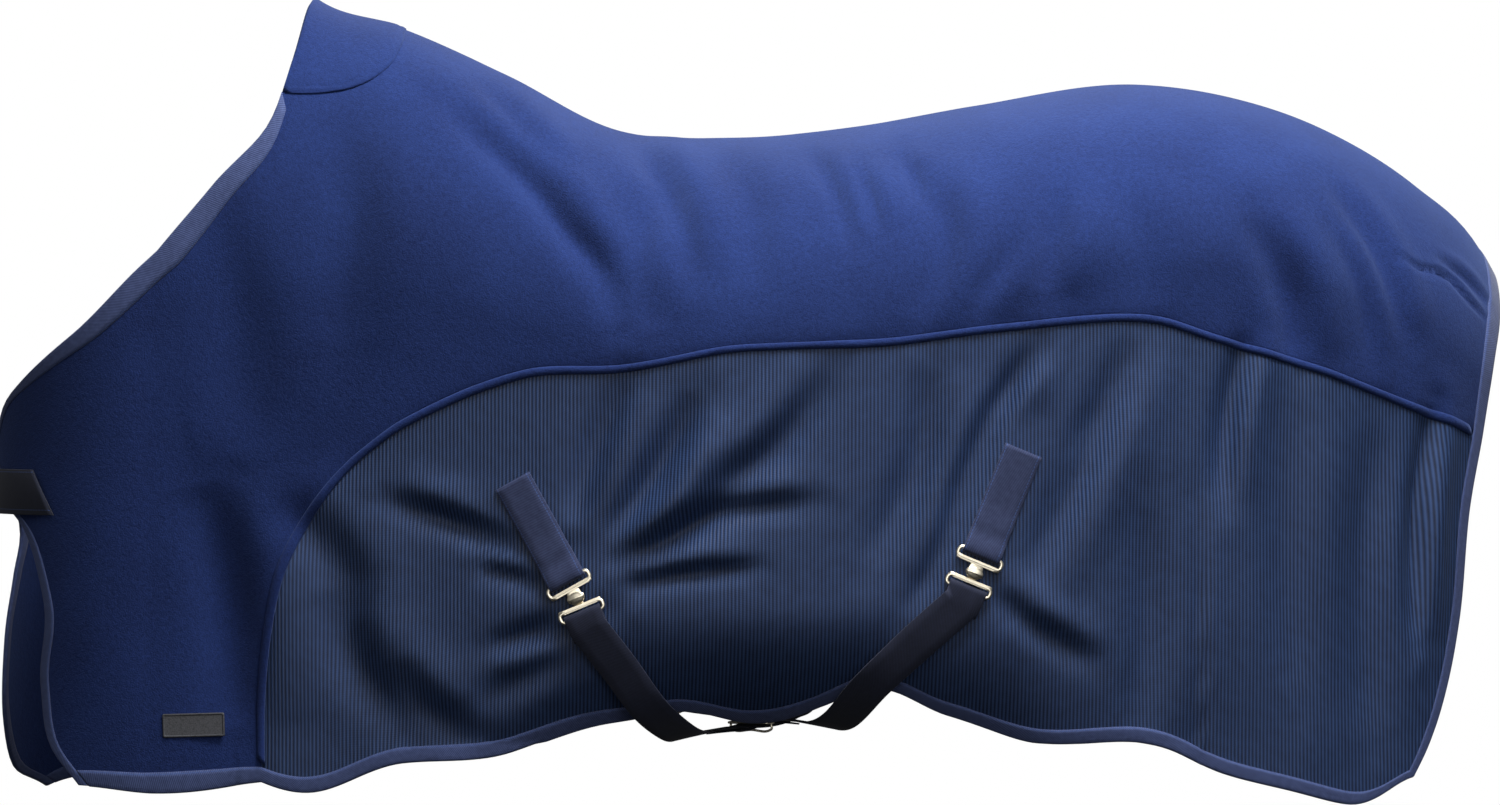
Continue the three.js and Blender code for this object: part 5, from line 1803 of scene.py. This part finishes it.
    def build(self) -> list[Piece]:
        """Make every piece of the surcingle.

        Returns:
            The pieces.
        """
        axes = surface_axes(self.bar, self.turn, Side.NEAR)
        c, s = math.cos(self.hook_turn), math.sin(self.hook_turn)
        spin = np.array([[c, s, 0], [-s, c, 0], [0, 0, 1]])
        pivot = np.array([0, self.slot_at, 0])
        origin = placed(pivot - pivot @ spin, axes)
        hook_axes = (origin, spin @ axes[1])
        return [self.tab(axes), *self.metal(axes, hook_axes), *self.straps(hook_axes)]


# ---- studio ----------------------------------------------------------------------------------------
@dataclass
class Studio:
    """Plain pale floor, soft lights and the camera."""

    target: tuple = (0.0, 0.0, -0.313)
    distance: float = 5.5
    azimuth: float = -4.0
    lens_mm: float = 110.9
    floor_z: float = -1.42
    floor_half: float = 6.9
    lights: tuple = (  # name, place, size, power, and whether only reflections see it
        ("key", (0.5, -0.95, 1.75), 1.1, 92, False),
        ("fill", (1.3, -3.9, 1.1), 2.0, 21, False),
        ("card", (-0.6, -3.9, 0.1), 2.6, 45, True),
        ("back", (0.5, 2.6, 2.4), 2.2, 70, False),
    )

    def camera(self) -> None:
        """Set the camera, level with the rug's middle."""
        data = bpy.data.cameras.new("camera")
        data.lens, data.sensor_width, data.sensor_fit = self.lens_mm, 36, "HORIZONTAL"
        data.clip_end = 60
        turn = math.radians(self.azimuth)
        made = bpy.data.objects.new("camera", data)
        target = Vector(self.target)
        made.location = target + Vector((math.sin(turn), -math.cos(turn), 0)) * self.distance
        made.rotation_euler = (target - made.location).to_track_quat("-Z", "Y").to_euler()
        bpy.context.scene.collection.objects.link(made)
        bpy.context.scene.camera = made

    def floor(self) -> None:
        """Pale floor under the rug."""
        half = self.floor_half
        square = ((-half, -half), (half, -half), (half, half), (-half, half))
        corners = [(x, y, self.floor_z) for x, y in square]
        mesh = bpy.data.meshes.new("floor")
        mesh.from_pydata(corners, [], [(0, 1, 2, 3)])
        made, _, shader = principled("pale floor", Roughness=0.8)
        shader.inputs["Base Color"].default_value = linear("#e9e9e7")
        shader.inputs["Emission Color"].default_value = linear("#ffffff")
        shader.inputs["Emission Strength"].default_value = 0.65
        mesh.materials.append(made)
        floor = bpy.data.objects.new("floor", mesh)
        bpy.context.scene.collection.objects.link(floor)
        floor.visible_diffuse = floor.visible_glossy = False

    def light(self, name: str, place: tuple, size: float, power: float, glossy_only: bool) -> None:
        """One square soft box that points at the rug.

        Args:
            name: the light's name.
            place: where it stands, in metres.
            size: of its side, in metres.
            power: in watts.
            glossy_only: whether it shows in reflections and lights nothing else.
        """
        data = bpy.data.lights.new(name, "AREA")
        data.shape, data.size, data.energy = "SQUARE", size, power
        made = bpy.data.objects.new(name, data)
        made.location = place
        made.rotation_euler = (Vector(self.target) - made.location).to_track_quat("-Z", "Y").to_euler()
        made.visible_diffuse = not glossy_only
        bpy.context.scene.collection.objects.link(made)

    def world(self) -> None:
        """White surroundings for the camera, and a sky that is dimmer below for the light."""
        world = bpy.data.worlds.new("studio")
        world.use_nodes = True
        tree = world.node_tree
        tree.nodes.clear()
        where = node(tree, "ShaderNodeTexCoord").outputs["Generated"]
        up = node(tree, "ShaderNodeSeparateXYZ", {0: where}).outputs[2]
        level = node(tree, "ShaderNodeMapRange", {0: up, 1: -0.6, 2: 0.9, 3: 0.01, 4: 0.3}).outputs[0]
        soft = node(tree, "ShaderNodeBackground", {"Color": (0.96, 0.98, 1.0, 1.0), "Strength": level})
        white = node(tree, "ShaderNodeBackground", {"Color": (1.0, 1.0, 1.0, 1.0), "Strength": 1.0})
        seen = node(tree, "ShaderNodeLightPath").outputs["Is Camera Ray"]
        mix = node(tree, "ShaderNodeMixShader", {0: seen, 1: soft.outputs[0], 2: white.outputs[0]})
        node(tree, "ShaderNodeOutputWorld", {0: mix.outputs[0]})
        bpy.context.scene.world = world

    def build(self) -> None:
        """Set up the whole studio."""
        self.camera()
        self.floor()
        self.world()
        for settings in self.lights:
            self.light(*settings)
        bpy.context.scene.view_settings.view_transform = "Standard"


def main() -> None:
    """Build the studio and the rug."""
    logging.basicConfig(level=logging.INFO, format="%(name)s: %(message)s")
    Studio().build()
    front = Surcingle(
        "front", (-226, -513), 0.52, -0.12, 128, ((-166, -611), (-132, -652)),
        ((-100, -236, -688), (-56, -125, -694)), (2, 0, -698), (-258, -455), 0,
    )
    rear = Surcingle(
        "rear", (237, -483), -0.39, 0.0, 126, ((160, -585), (118, -622)),
        ((84, -256, -674), (46, -130, -683)), (2, 0, -687), (258, -432), 160,
    )
    front.opposite, rear.opposite = rear, front
    pieces = [piece for side in Side for piece in SidePanels(side).build()]
    pieces += [WithersPatch().build(), SpineTape().build(), Badge().build(), *ChestClosure().build()]
    pieces += [*front.build(), *rear.build()]
    for piece in pieces:
        LOG.info("%s: %d faces", piece.name, len(piece.data.polygons))


if __name__ == "__main__":
    main()
